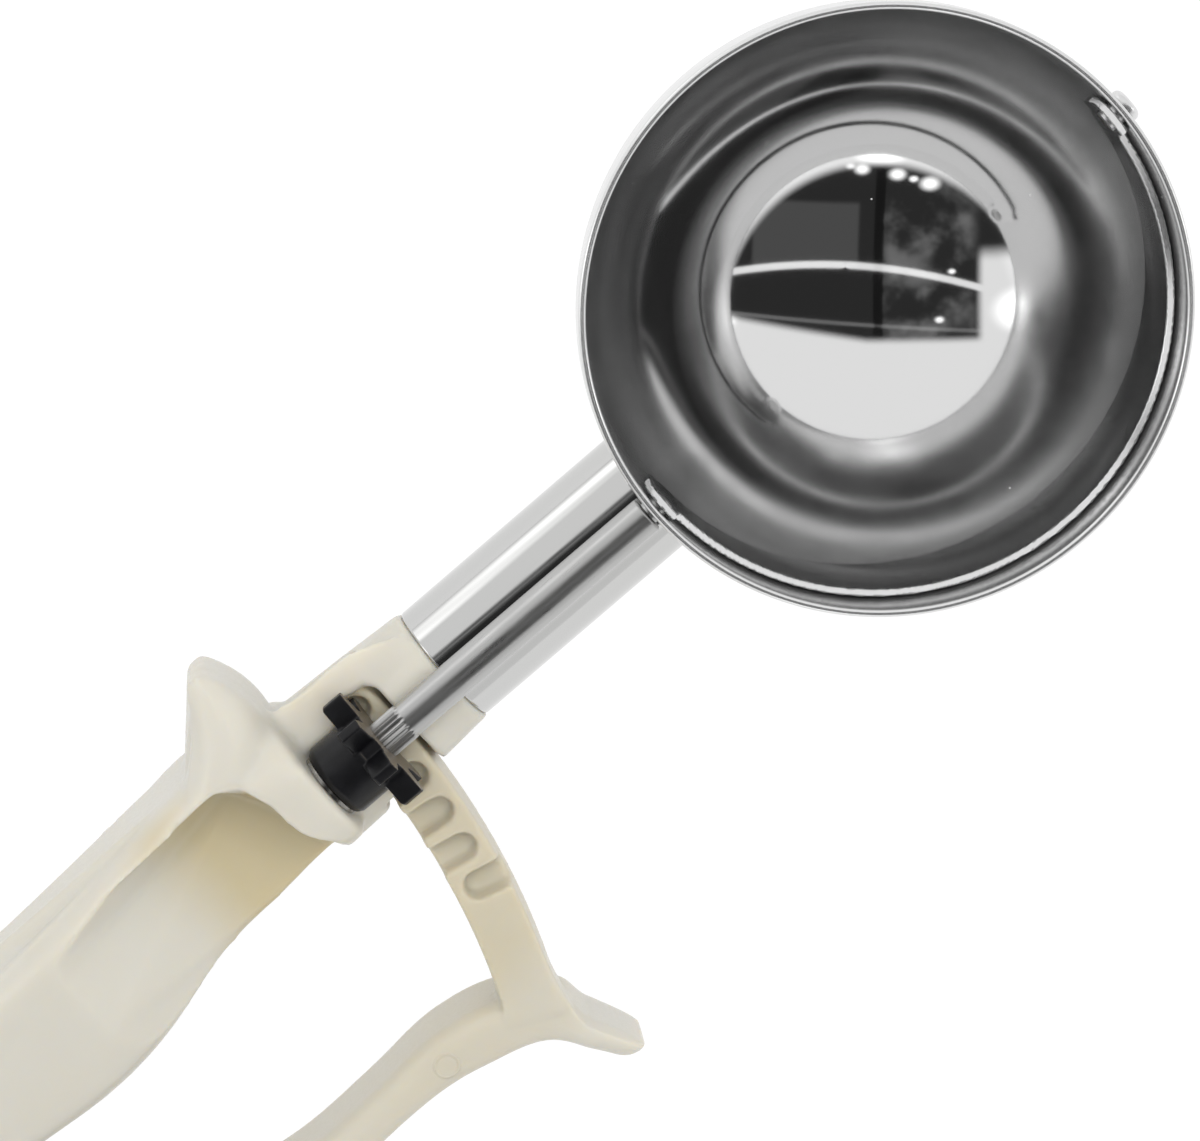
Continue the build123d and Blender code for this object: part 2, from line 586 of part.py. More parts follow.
def make_handle_body():
    collar = make_collar() - rack_channel() - rack_window() - gear_well() - lock_pin_hole()
    grip = handle_form() + finger_guard() - pocket() - hinge_slot() - pin_holes()
    grip = grip - handle_spring_seat()
    bush_hole = along_x(JOURNAL_RADIUS + BUSH_WALL, SHOULDER_X - BUSH_LENGTH, SHOULDER_X + 1)
    shaft_end = along_x(JOURNAL_RADIUS + 0.4, SHOULDER_X - BUSH_LENGTH - 1, SHOULDER_X)
    return grip + collar - bush_hole - shaft_end


# ---------------------------------------------------------------- lever
def lever_form():
    """The lever as a smooth skin from its finger hook along the grip to the tail in the handle."""
    middles = []
    for before, out, _, _ in LEVER_SECTIONS:
        middles.append((PIVOT_X + before * LEVER_LENGTH, out * GRIP_MID_Y))
    sections = []
    last = len(LEVER_SECTIONS) - 1
    for index, (_, _, width, depth) in enumerate(LEVER_SECTIONS):
        x, y = middles[index]
        before = middles[max(index - 1, 0)]
        after = middles[min(index + 1, last)]
        heading = degrees(atan2(after[1] - before[1], after[0] - before[0]))
        deep = depth * GRIP_DEPTH
        share = (GRIP_DEPTH - deep) / (GRIP_DEPTH - TAIL_DEPTH) if index > last / 2 else 0
        mid_z = GRIP_MID_Z + share * (SLOT_MID_Z - GRIP_MID_Z)
        sections.append(cross_section(x, y, mid_z, heading, width * GRIP_WIDTH, deep, GRIP_ROUND))
    return loft(sections)


def rack_arm():
    """The curved arm with the rack's grooves in its top."""
    tip_angle = (ARM_TIP_REACH - ARM_WIDTH / 2) / ARM_MID_RADIUS
    root_angle = -ARM_ROOT_REACH / ARM_MID_RADIUS
    sweep = degrees(tip_angle - root_angle)
    inner = CenterArc((PIVOT_X, 0), ARM_INNER_RADIUS, degrees(root_angle), sweep)
    outer = CenterArc((PIVOT_X, 0), ARM_OUTER_RADIUS, degrees(root_angle), sweep)
    nose_middle = polar(ARM_MID_RADIUS, tip_angle)
    nose_out = polar(ARM_WIDTH / 2, tip_angle + pi / 2)
    nose_top = (PIVOT_X + nose_middle[0] + nose_out[0], nose_middle[1] + nose_out[1])
    nose = ThreePointArc(outer @ 1, nose_top, inner @ 1)
    outline = outer + nose + inner + Line(inner @ 0, outer @ 0)
    height = RACK_TOP_Z - ARM_BOTTOM_Z
    arm = Location((0, 0, ARM_BOTTOM_Z)) * extrude(make_face(outline), height, taper=ARM_DRAFT)
    rims = ShapeList([edge for edge in arm.edges() if is_arm_rim_edge(edge)])
    arm = fillet(rims, ARM_ROUND)
    lag = degrees(REST_LAG / RACK_RADIUS)
    for index in range(-GROOVES_IN, GROOVES_OUT + 1):
        arm -= groove_at(-index * RACK_STEP - lag, opens_inwards=True)
    return arm - groove_at(-RELIEF_PITCHES * RACK_STEP - lag, opens_inwards=False)


def is_arm_rim_edge(edge):
    box = edge.bounding_box()
    return box.size.Z < 0.01 and box.size.Y > 2 and box.max.Z < RACK_TOP_Z - 1


def groove_at(angle, opens_inwards):
    """One tapered rack groove at an angle about the pivot. Its closed end is round."""
    depth = RACK_TOP_Z - GROOVE_FLOOR_Z
    half = GROOVE_TOP_WIDTH / 2
    closed_radius = ARM_OUTER_RADIUS - GROOVE_END_LAND
    open_radius = ARM_INNER_RADIUS - GROOVE_TOP_WIDTH
    if not opens_inwards:
        closed_radius = ARM_INNER_RADIUS + GROOVE_END_LAND
        open_radius = ARM_OUTER_RADIUS + GROOVE_TOP_WIDTH
    middle = (closed_radius + open_radius) / 2
    length = abs(open_radius - closed_radius)
    outline = Pos(middle, 0) * SlotOverall(length, 2 * half)
    cutter = extrude(outline, -depth, taper=GROOVE_DRAFT)
    floor = cutter.faces().sort_by(Axis.Z)[0]
    cutter = fillet(floor.edges(), GROOVE_FLOOR_ROUND)
    return Location((PIVOT_X, 0, RACK_TOP_Z), (0, 0, angle)) * cutter


def hook_web():
    """The hollow corner that joins the arm's outer side to the hook."""
    arm_y = 0.90 * GRIP_MID_Y
    arm_x = PIVOT_X + sqrt((ARM_OUTER_RADIUS - 0.3)**2 - arm_y**2)
    hook_y = 1.22 * GRIP_MID_Y
    hook_x = PIVOT_X + 0.925 * LEVER_LENGTH
    inside_x = arm_x - ARM_WIDTH / 2
    hollow = Spline((arm_x, arm_y), (hook_x, hook_y), tangents=[(-0.3, -0.95), (0.45, -0.89)])
    back = Line((hook_x, hook_y), (inside_x, hook_y)) + Line((inside_x, hook_y), (inside_x, arm_y))
    outline = hollow + back + Line((inside_x, arm_y), (arm_x, arm_y))
    return plan_prism(outline, ARM_BOTTOM_Z + ARM_ROUND, RACK_TOP_Z - 2 * ARM_STEP)


def make_lever():
    knuckle = upright(KNUCKLE_RADIUS, TAIL_BOTTOM_Z, TAIL_TOP_Z)
    lever = lever_form() + rack_arm() + hook_web() + knuckle
    bore = upright(PIN_RADIUS + RUNNING_FIT, TAIL_BOTTOM_Z - 1, TAIL_TOP_Z + 1)
    return lever - bore - lever_spring_seat()


def from_pivot(shape, heading):
    """Turn a shape drawn along +X, and carry it to the lever's pivot."""
    return Location((PIVOT_X, 0, 0), (0, 0, heading)) * shape


def leg_groove(heading, side, low_z, high_z):
    """A straight groove for one spring leg, touching the coil on the given side."""
    half = SPRING_WIRE / 2 + SPRING_LEG_GAP
    middle = side * SPRING_MEAN_RADIUS
    groove = block((0, middle - half, low_z), (SPRING_LEG + 0.5, middle + half, high_z))
    return from_pivot(groove, heading)


def lever_spring_seat():
    """The well in the knuckle for the coil and the groove for the moving leg."""
    well = upright(SPRING_WELL_RADIUS, SPRING_WELL_Z, TAIL_TOP_Z + 1)
    return well + leg_groove(MOVING_LEG_HEADING, -1, SPRING_WELL_Z, TAIL_TOP_Z + 1)


def handle_spring_seat():
    """The matching well in the upper cheek, with the groove for the fixed leg."""
    top_z = SPRING_TOP_Z + SPRING_WIRE / 2 + SPRING_LEG_GAP
    well = upright(SPRING_WELL_RADIUS, SLOT_TOP_Z - 0.1, top_z)
    return well + leg_groove(FIXED_LEG_HEADING, 1, SLOT_TOP_Z - 0.1, top_z)


def make_return_spring():
    """A left-hand torsion spring about the pivot pin: squeezing the lever winds it up."""
    helix = Helix(SPRING_PITCH, SPRING_HEIGHT, SPRING_MEAN_RADIUS, lefthand=True)
    start = helix @ 0
    end = helix @ 1
    moving_leg = Line(start + SPRING_LEG * level(helix % 0) * -1, start)
    fixed_leg = Line(end, end + SPRING_LEG * level(helix % 1))
    path = Wire([moving_leg.edges()[0], helix.edges()[0], fixed_leg.edges()[0]])
    section = Plane(origin=path @ 0, z_dir=path % 0) * Circle(SPRING_WIRE / 2)
    wire = sweep(section, path=path, transition=Transition.TRANSFORMED)
    return from_pivot(Location((0, 0, SPRING_LOW_Z)) * wire, MOVING_LEG_HEADING - 90)


def level(direction):
    return Vector(direction.X, direction.Y, 0).normalized()


def make_pivot_pin():
    shank = upright(PIN_RADIUS, retainer_z() - PIN_END_STAND, pin_head_z() + 0.1)
    head = upright(PIN_HEAD_RADIUS, pin_head_z(), pin_head_z() + PIN_HEAD_HEIGHT)
    crown = head.edges().filter_by(GeomType.CIRCLE).sort_by(Axis.Z)[-1]
    return shank + fillet(crown, 0.5)


def make_pin_retainer():
    ring = upright(RETAINER_RADIUS, retainer_z() - RETAINER_THICKNESS, retainer_z())
    return ring - upright(PIN_RADIUS, retainer_z() - 5, retainer_z() + 1)


# ---------------------------------------------------------------- assembly
def make_parts():
    return {
        "bowl": make_bowl(),
        "neck_tube": make_neck_tube(),
        "neck_braze": make_neck_braze(),
        "neck_lock_pin": make_lock_pin(),
        "handle_body": make_handle_body(),
        "shaft_bush": make_shaft_bush(),
        "pivot_pin": make_pivot_pin(),
        "pin_retainer": make_pin_retainer(),
        "return_spring": make_return_spring(),
        "lever": make_lever(),
        "drive_shaft": make_drive_shaft(),
        "pinion_gear": make_pinion_gear(),
        "thrust_washer": make_thrust_washer(),
        "sweep_blade": make_sweep_blade(),
        "blade_stud": make_blade_stud(),
    }


def tilted(roll, pitch):
    """The turn from the working frame to the table's frame."""
    return Location((0, 0, 0), (0, pitch, 0)) * Location((0, 0, 0), (roll, 0, 0))


def lowest(shape, roll, pitch):
    return (tilted(roll, pitch) * shape).bounding_box().min.Z


def rest_on_table(parts):
    """Find the roll and pitch at which bowl, handle and lever all touch one level plane."""
    roll = REST_ROLL
    pitch = REST_PITCH
    handle = parts["handle_body"]
    lever = parts["lever"]
    for _ in range(REST_ROUNDS):
        lever_gap = lowest(lever, roll, pitch) + BOWL_RADIUS
        roll_rate = (lowest(lever, roll + REST_STEP, pitch) + BOWL_RADIUS - lever_gap) / REST_STEP
        roll -= lever_gap / roll_rate
        handle_gap = lowest(handle, roll, pitch) + BOWL_RADIUS
        pitch_rate = (lowest(handle, roll, pitch + REST_STEP) + BOWL_RADIUS - handle_gap) / REST_STEP
        pitch -= handle_gap / pitch_rate
    return tilted(roll, pitch)


def table_frame(parts):
    """Where the working frame lies when the object's box stands centred on the table's origin."""
    turn = rest_on_table(parts)
    boxes = [(turn * shape).bounding_box() for shape in parts.values()]
    middle_x = (min(box.min.X for box in boxes) + max(box.max.X for box in boxes)) / 2
    middle_y = (min(box.min.Y for box in boxes) + max(box.max.Y for box in boxes)) / 2
    floor_z = min(box.min.Z for box in boxes)
    return Location((-middle_x, -middle_y, -floor_z)) * turn


if __name__ == "__main__":
    parts = make_parts()
    place = table_frame(parts)
    os.makedirs("parts", exist_ok=True)
    for name, shape in parts.items():
        export_step(place * shape, f"parts/{name}.step")
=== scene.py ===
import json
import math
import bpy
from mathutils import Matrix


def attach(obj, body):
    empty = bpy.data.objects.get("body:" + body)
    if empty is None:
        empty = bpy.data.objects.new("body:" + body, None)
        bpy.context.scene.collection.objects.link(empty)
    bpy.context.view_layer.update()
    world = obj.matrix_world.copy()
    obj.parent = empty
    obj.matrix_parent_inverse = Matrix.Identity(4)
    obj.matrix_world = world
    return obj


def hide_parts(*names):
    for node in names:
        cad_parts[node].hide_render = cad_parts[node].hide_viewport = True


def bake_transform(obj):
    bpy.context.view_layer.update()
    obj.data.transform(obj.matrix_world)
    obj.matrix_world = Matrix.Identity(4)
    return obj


bl_info = {
    "name": "Lever Ice Cream Scoop",
    "version": (1, 0, 0),
    "blender": (4, 5, 0),
    "location": "View3D > Sidebar > Scoop",
    "description": "Dresses the scoop's packed solids with smooth forms and real finishes",
    "category": "Object",
}

import bmesh
import bpy
from bpy.props import FloatProperty, FloatVectorProperty, IntProperty, PointerProperty
from mathutils import Matrix, Vector

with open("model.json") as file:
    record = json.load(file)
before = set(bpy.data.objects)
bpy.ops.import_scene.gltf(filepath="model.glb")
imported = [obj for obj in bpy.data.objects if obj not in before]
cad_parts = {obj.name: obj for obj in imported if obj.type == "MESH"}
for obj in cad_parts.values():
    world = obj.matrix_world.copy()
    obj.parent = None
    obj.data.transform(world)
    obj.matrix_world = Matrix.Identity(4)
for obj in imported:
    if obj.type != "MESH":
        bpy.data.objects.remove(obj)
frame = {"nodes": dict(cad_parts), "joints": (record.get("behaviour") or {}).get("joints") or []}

MM = 0.001
JOINTS = {joint["name"]: joint for joint in frame["joints"]}

# sizes and places in the working frame, millimetres
BOWL_RADIUS = 34.0
BOWL_WALL = 0.9
LIP_HEIGHT = 2.6
PIVOT_HOLE_RADIUS = 1.35
BLADE_OUTSIDE = 32.8
BLADE_THICKNESS = 0.9
BLADE_EDGE_DROP = 2.4
NECK_DROP = 10.3
TUBE_RADIUS = 7.4
TUBE_WALL = 1.0
TUBE_SUNK = 0.2
COLLAR_FRONT_X = -63.6
SHAFT_JOINT_X = -55.0

# the drive shaft, from its rear end to the tenon that carries the blade
JOURNAL_RADIUS = 1.6
SHAFT_RADIUS = 2.15
TENON_RADIUS = 1.3
ROD_CHAMFER = 0.2
ROD_REAR_X = -85.5
SPLINE_REAR_X = -80.4
SPLINE_FRONT_X = -69.9
SHOULDER_X = -34.4
TENON_TIP_X = -31.8
SPLINE_COUNT = 22
SPLINE_RISE = 0.08
SPLINE_DEPTH = 0.22
POINTS_PER_SPLINE = 8

# the share of the braze's height that wiping leaves
WIPED_SHARE = 0.3

# a ring that a mould's pin leaves in the lever
PIN_MARK = (-93.6, -34.8, -5.1)
PIN_MARK_RADIUS = 1.4
PIN_MARK_WIDTH = 0.3

# the collar's edge over the arm's way out: x, where it starts, how far it reaches and how much lower it lies
EAVE_LOW_Z = -4.45
EAVE_STATIONS = [
    (-84.5, 4.3, 8.0, 0), (-81.0, 4.3, 10.1, 0), (-75.4, 4.3, 10.0, 0), (-74.9, 5.9, 10.0, 0),
    (-71.2, 5.9, 9.9, 0), (-70.2, 4.3, 9.85, 0), (-67.0, 4.3, 8.6, 0.7), (-64.1, 4.3, 6.5, 1.4),
]
# between these two places a window leaves the arm's tip in sight
WINDOW_REAR_X = -75.4
WINDOW_FRONT_X = -70.0

# where the grip is fuller or leaner than its core
HEEL_X = -114.5
BESIDE_POCKET_X = -95.0
GRIP_MIDDLE_X = -132.0

# the lever's knuckle, and the directions along and across the hook that starts there
KNUCKLE = Vector((-80.1, -39.4, 0))
HOOK_ALONG = Vector((0.76, -0.65, 0))
HOOK_ACROSS = Vector((0.663, 0.749, 0))

# makes a Map Range node ease in and out
EASED = {"interpolation_type": "SMOOTHSTEP"}


# ---------------------------------------------------------------- the working frame
def working_frame():
    """The frame the tool is drawn in: origin at the bowl's centre, X along the shaft, Z out of the bowl."""
    along = Vector(JOINTS["shaft_turn"]["axis"]).normalized()
    up = Vector(JOINTS["lever_squeeze"]["axis"]).normalized()
    side = up.cross(along).normalized()
    up = along.cross(side)
    shaft_point = Vector(JOINTS["shaft_turn"]["pos_m"])
    centre = shaft_point - along * SHAFT_JOINT_X * MM
    turn = Matrix((along, side, up)).transposed().to_4x4()
    return Matrix.Translation(centre) @ turn


WORK = working_frame()
WORK_BACK = WORK.inverted()
TURN = WORK.to_3x3()
TURN_BACK = WORK_BACK.to_3x3()


def place(x, y, z):
    """A point of the working frame, in millimetres, as a point of the scene."""
    return WORK @ Vector((x * MM, y * MM, z * MM))


def work_point(point):
    """A point of the scene as a point of the working frame, in millimetres."""
    return (WORK_BACK @ point) / MM


# ---------------------------------------------------------------- colours and nodes
def linear(hex_colour):
    """An sRGB hex colour as linear red, green and blue."""
    text = hex_colour.lstrip("#")
    channels = []
    for start in (0, 2, 4):
        value = int(text[start:start + 2], 16) / 255
        channels.append(value / 12.92 if value <= 0.04045 else ((value + 0.055) / 1.055) ** 2.4)
    return tuple(channels)


def add_node(tree, kind, *values, output=None, sockets=None, **settings):
    """Add a node with its settings and links, and return the output named, or else its first.

    The values go to the node's sockets in their order, and what sockets holds goes to the sockets it names.
    """
    node = tree.nodes.new("ShaderNode" + kind)
    for name, value in settings.items():
        setattr(node, name, value)
    filled = list(zip([socket for socket in node.inputs if socket.enabled], values))
    filled += [(node.inputs[name], value) for name, value in (sockets or {}).items()]
    for socket, value in filled:
        if isinstance(value, bpy.types.NodeSocket):
            tree.links.new(value, socket)
        else:
            socket.default_value = value
    if output:
        return node.outputs[output]
    return next((socket for socket in node.outputs if socket.enabled), None)


def millimetres(tree, stretch=(1, 1, 1)):
    """The piece's own coordinates in millimetres, drawn out along the axes by their stretch."""
    own = add_node(tree, "TexCoord", output="Object")
    scale = tuple(1 / MM / amount for amount in stretch)
    return add_node(tree, "VectorMath", own, scale, operation="MULTIPLY")


def bar(tree, value, middle, half, soft):
    """1 within half of middle, easing to 0 over soft."""
    off = add_node(tree, "Math", value, middle, operation="SUBTRACT")
    off = add_node(tree, "Math", off, operation="ABSOLUTE")
    return add_node(tree, "MapRange", off, half, half + soft, 1.0, 0.0, **EASED)


def new_material(name):
    """A material with an empty node tree, and that tree."""
    material = bpy.data.materials.new(name)
    material.use_nodes = True
    material.node_tree.nodes.clear()
    return material, material.node_tree


def finish_material(material, sockets):
    """Shade a material by the Principled shader with these sockets."""
    shader = add_node(material.node_tree, "BsdfPrincipled", sockets=sockets)
    add_node(material.node_tree, "OutputMaterial", shader)
    return material


# ---------------------------------------------------------------- materials
def steel(name, colour, smooth, rough, grain, relief, stretch=(1, 1, 1)):
    """Stainless steel: a grey metal whose polish wanders a little and whose grain follows the work.

    The eye gets sharp room reflections that break up softly along the grain. The grain's size and relief are
    in millimetres, drawn coarser than polishing leaves them so that they show.
    """
    cloud_size = 30 * grain
    material, tree = new_material(name)
    fine = add_node(tree, "TexNoise", millimetres(tree, stretch), 1 / grain, 3.0)
    wide = add_node(tree, "TexNoise", millimetres(tree), 1 / cloud_size, 2.0)
    share = add_node(tree, "Math", fine, wide, operation="MULTIPLY")
    return finish_material(material, {
        "Base Color": (*colour, 1), "Metallic": 1.0,
        "Roughness": add_node(tree, "MapRange", share, 0.1, 0.4, smooth, rough, **EASED),
        "Normal": add_node(tree, "Bump", sockets={"Height": fine, "Distance": relief * MM}),
    })


def ring_mark(tree, spot, centre, radius, width):
    """A thin circle about a point of the working frame, 0 to 1."""
    middle = tuple(part / MM for part in place(*centre))
    away = add_node(tree, "VectorMath", spot, middle, operation="DISTANCE")
    return bar(tree, away, radius, 0.0, width)


def ivory_plastic(settings):
    """Moulded ivory plastic. The eye gets a satin skin that glows slightly from under, clouded a little.

    The painted shade leans it towards beige, and a pin's ring stands out of it. The mould's grain is drawn
    coarser than it is, so that it shows.
    """
    cloud_size = 14.0
    grain_size = 0.35
    grain_height = 0.004
    ring_height = 0.12
    material, tree = new_material("ivory_moulded_plastic")
    spot = millimetres(tree)
    cloud = add_node(tree, "TexNoise", spot, 1 / cloud_size, 2.0)
    cloud = add_node(tree, "MapRange", cloud, 0.3, 0.7, 0.0, 0.12, **EASED)
    shade = add_node(tree, "Attribute", output="Fac", attribute_name="shade")
    share = add_node(tree, "Math", shade, cloud, operation="ADD")
    grain = add_node(tree, "TexNoise", spot, 1 / grain_size, 3.0)
    grain_relief = add_node(tree, "Bump", sockets={"Height": grain, "Distance": grain_height * MM})
    ring = ring_mark(tree, spot, PIN_MARK, PIN_MARK_RADIUS, PIN_MARK_WIDTH)
    ivory = (*settings.ivory, 1)
    beige = (*settings.beige, 1)
    return finish_material(material, {
        "Base Color": add_node(tree, "Mix", share, ivory, beige, data_type="RGBA"),
        "Roughness": add_node(tree, "MapRange", grain, 0.3, 0.7, 0.28, 0.38, **EASED),
        "Subsurface Weight": 0.5, "Subsurface Radius": (3.0, 2.2, 1.2), "Subsurface Scale": MM, "IOR": 1.49,
        "Normal": add_node(tree, "Bump", sockets={
            "Height": ring, "Distance": ring_height * MM, "Normal": grain_relief,
        }),
    })


def blackened_gear(settings):
    """Steel gear, blackened and oiled. The eye gets near black with a soft sheen, and a brown front face that
    is worn in patches and painted lighter as a highlight.
    """
    grain_size = 0.18
    grain_height = 0.008
    cloud_size = 2.5
    material, tree = new_material("black_gear")
    spot = millimetres(tree)
    grain = add_node(tree, "TexNoise", spot, 1 / grain_size, 4.0)
    cloud = add_node(tree, "TexNoise", spot, 1 / cloud_size, 2.0)
    black = (*settings.gear_black, 1)
    grey = (*[2 * part for part in settings.gear_black], 1)
    greyed = add_node(tree, "MapRange", cloud, 0.35, 0.75, 0.0, 1.0, **EASED)
    skin_colour = add_node(tree, "Mix", greyed, black, grey, data_type="RGBA")
    # the face turned towards the bowl is painted lighter brown: a painted highlight, broken into worn patches
    normal = add_node(tree, "NewGeometry", output="Normal")
    facing = add_node(tree, "VectorMath", normal, TURN @ Vector((1, 0, 0)), operation="DOT_PRODUCT")
    front = add_node(tree, "MapRange", facing, 0.5, 0.9, 0.0, 1.0, **EASED)
    worn = add_node(tree, "MapRange", grain, 0.35, 0.6, 0.3, 1.0, **EASED)
    wear_and_sheen = add_node(tree, "Math", front, worn, operation="MULTIPLY")
    return finish_material(material, {
        "Base Color": add_node(tree, "Mix", wear_and_sheen, skin_colour, (*linear("#6E6456"), 1), data_type="RGBA"),
        "Roughness": add_node(tree, "MapRange", grain, 0.3, 0.7, 0.3, 0.45, **EASED),
        "Normal": add_node(tree, "Bump", sockets={"Height": grain, "Distance": grain_height * MM}),
        "Specular IOR Level": 0.3,
    })


def bowl_steel(settings):
    """Spun steel. The eye gets a mirror in the bowl's bottom, satin towards the rim and a few specks of dust.

    Its levels are heights over the bowl's centre, in millimetres.
    """
    mirror_level, satin_level = -29.5, -8.0
    clear_level, hazy_level = -22.0, -14.0
    wander_size = 6.0
    speck_spacing = 5.5
    grain_size = 0.3
    grain_height = 0.0005
    material, tree = new_material("spun_bowl_steel")
    spot = millimetres(tree)
    up = TURN @ Vector((0, 0, 1))
    level = add_node(tree, "VectorMath", spot, up, operation="DOT_PRODUCT")
    level = add_node(tree, "Math", level, WORK.translation.dot(up) / MM, operation="SUBTRACT")
    satin = add_node(tree, "MapRange", level, mirror_level, satin_level, settings.bowl_polish, 0.24, **EASED)
    wander = add_node(tree, "TexNoise", spot, 1 / wander_size, 2.0)
    wander = add_node(tree, "MapRange", wander, 0.3, 0.7, 0.9, 1.1, **EASED)
    satin = add_node(tree, "Math", satin, wander, operation="MULTIPLY")
    speck_scale = {"Vector": spot, "Scale": 1 / speck_spacing}
    speck = add_node(tree, "TexVoronoi", output="Distance", sockets=speck_scale)
    dust = add_node(tree, "MapRange", speck, 0.012, 0.024, 1.0, 0.0, **EASED)
    haze = add_node(tree, "MapRange", level, clear_level, hazy_level, 0.0, 0.09, **EASED)
    veil = add_node(tree, "Math", dust, haze, operation="MAXIMUM")
    grain = add_node(tree, "TexNoise", spot, 1 / grain_size, 3.0)
    tint = (*settings.steel, 1)
    return finish_material(material, {
        "Base Color": add_node(tree, "Mix", dust, tint, (*linear("#F3F3F3"), 1), data_type="RGBA"),
        "Metallic": add_node(tree, "Math", 1.0, veil, operation="SUBTRACT"),
        "Roughness": add_node(tree, "Math", satin, dust, operation="MAXIMUM"),
        "Normal": add_node(tree, "Bump", sockets={"Height": grain, "Distance": grain_height * MM}),
    })


def white_floor():
    """White paper sweep, its fibres drawn coarse. The eye gets an even, nearly white ground."""
    fibre_size = 0.8
    fibre_height = 0.02
    material, tree = new_material("white_paper_sweep")
    fibre = add_node(tree, "TexNoise", millimetres(tree), 1 / fibre_size, 3.0)
    return finish_material(material, {
        "Base Color": (*linear("#464646"), 1), "Roughness": 0.9,
        "Emission Color": (*linear("#FFFFFF"), 1), "Emission Strength": 0.96,
        "Normal": add_node(tree, "Bump", sockets={"Height": fibre, "Distance": fibre_height * MM}),
    })


# ---------------------------------------------------------------- mesh helpers
def link_piece(name, mesh, node_name, body, material):
    """Put a mesh in the scene as the piece for one CAD node. It rides on its body, unless that is None."""
    piece = bpy.data.objects.new(name, mesh)
    bpy.context.scene.collection.objects.link(piece)
    mesh.materials.clear()
    mesh.materials.append(material)
    if body:
        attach(piece, body)
    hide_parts(node_name)
    return piece


def skin(name, rows, close_rows=True):
    """A mesh of quads over rows of points. Rows run round the piece where close_rows is set."""
    count = len(rows[0])
    faces = []
    for row in range(len(rows) - 1):
        for column in range(count if close_rows else count - 1):
            after = (column + 1) % count
            here = row * count
            below = here + count
            faces.append((here + column, here + after, below + after, below + column))
    mesh = bpy.data.meshes.new(name)
    mesh.from_pydata([point for row in rows for point in row], [], faces)
    mesh.update()
    mesh.polygons.foreach_set("use_smooth", [True] * len(mesh.polygons))
    return mesh


def arc(centre, radius, start, end, steps):
    """Points of an arc in a profile, as (across, along). Angles are in degrees from +across."""
    points = []
    for step in range(steps + 1):
        angle = math.radians(start + (end - start) * step / steps)
        points.append((centre[0] + radius * math.cos(angle), centre[1] + radius * math.sin(angle)))
    return points


def angles_round(steps):
    """Even angles once round, in radians."""
    return [2 * math.pi * step / steps for step in range(steps)]


def turned_rows(profile, steps, spot):
    """Rows of points for a profile of (radius, along) turned about the axis that spot knows."""
    rows = []
    for radius, along in profile:
        turned = [(radius * math.cos(angle), radius * math.sin(angle)) for angle in angles_round(steps)]
        rows.append([spot(across, aside, along) for across, aside in turned])
    return rows


def about_bowl(across, aside, along):
    """A point of what turns about the bowl's axis."""
    return place(across, aside, along)


def about_shaft(across, aside, along):
    """A point of what turns about the shaft's axis."""
    return place(along, across, aside)


def about_neck(across, aside, along):
    """A point of what turns about the neck's axis."""
    return place(along, across, aside - NECK_DROP)


def apply_modifiers(piece):
    """Swap the piece's mesh for its evaluated one."""
    graph = bpy.context.evaluated_depsgraph_get()
    mesh = bpy.data.meshes.new_from_object(piece.evaluated_get(graph))
    old = piece.data
    piece.modifiers.clear()
    piece.data = mesh
    bpy.data.meshes.remove(old)


def soft_copy(node_name, name, voxel, rounds, add_to=None):
    """A CAD solid's mesh as an even skin of small quads with its edges relaxed round."""
    mesh = frame["nodes"][node_name].data.copy()
    if add_to:
        add_to(mesh)
    piece = bpy.data.objects.new(name, mesh)
    bpy.context.scene.collection.objects.link(piece)
    even = piece.modifiers.new("even_skin", "REMESH")
    even.mode = "VOXEL"
    even.voxel_size = voxel * MM
    even.use_smooth_shade = True
    relax = piece.modifiers.new("soft_edges", "SMOOTH")
    relax.factor = 0.5
    relax.iterations = rounds
    apply_modifiers(piece)
    mesh = piece.data
    bpy.data.objects.remove(piece)
    return mesh


def cut_round_hole(mesh, radius, start_x, end_x):
    """Cut a round hole along the shaft's axis through a mesh."""
    near_axis = 0.001
    profile = [(near_axis, start_x), (radius, start_x), (radius, end_x), (near_axis, end_x)]
    cutter = bpy.data.objects.new("cutter", skin("cutter", turned_rows(profile, 48, about_shaft)))
    piece = bpy.data.objects.new("cut_piece", mesh)
    for item in (cutter, piece):
        bpy.context.scene.collection.objects.link(item)
    cut = piece.modifiers.new("hole", "BOOLEAN")
    cut.operation = "DIFFERENCE"
    cut.object = cutter
    apply_modifiers(piece)
    result = piece.data
    bpy.data.objects.remove(piece)
    bpy.data.objects.remove(cutter)
    return result


def dress(node_name, material):
    """Give a CAD piece that is shown as it is its finish."""
    mesh = frame["nodes"][node_name].data
    mesh.materials.clear()
    mesh.materials.append(material)


# ---------------------------------------------------------------- bowl and blade
def bowl_profile():
    """Up the outside, over the rounded lip and down the inside."""
    edge = BOWL_WALL / 2
    near_pole = -89.9
    profile = arc((0, 0), BOWL_RADIUS, near_pole, 0, 90)
    profile += arc((BOWL_RADIUS - edge, LIP_HEIGHT - edge), edge, 0, 180, 12)
    profile += arc((0, 0), BOWL_RADIUS - BOWL_WALL, 0, near_pole, 90)
    return profile


def make_bowl(settings):
    """The spun bowl, with a hole at each side for the blade's pivots."""
    mesh = skin("bowl_spun", turned_rows(bowl_profile(), settings.bowl_steps, about_bowl))
    mesh = cut_round_hole(mesh, PIVOT_HOLE_RADIUS, -BOWL_RADIUS - 2, BOWL_RADIUS + 2)
    link_piece("bowl_spun", mesh, "bowl", "handle", bowl_steel(settings))


def skin_depth(point):
    """Where a point of the blade lies between its skins: -1 at the inner one and 1 at the outer one."""
    middle = BLADE_OUTSIDE - BLADE_THICKNESS / 2
    return (point.length - middle) / (BLADE_THICKNESS / 2)


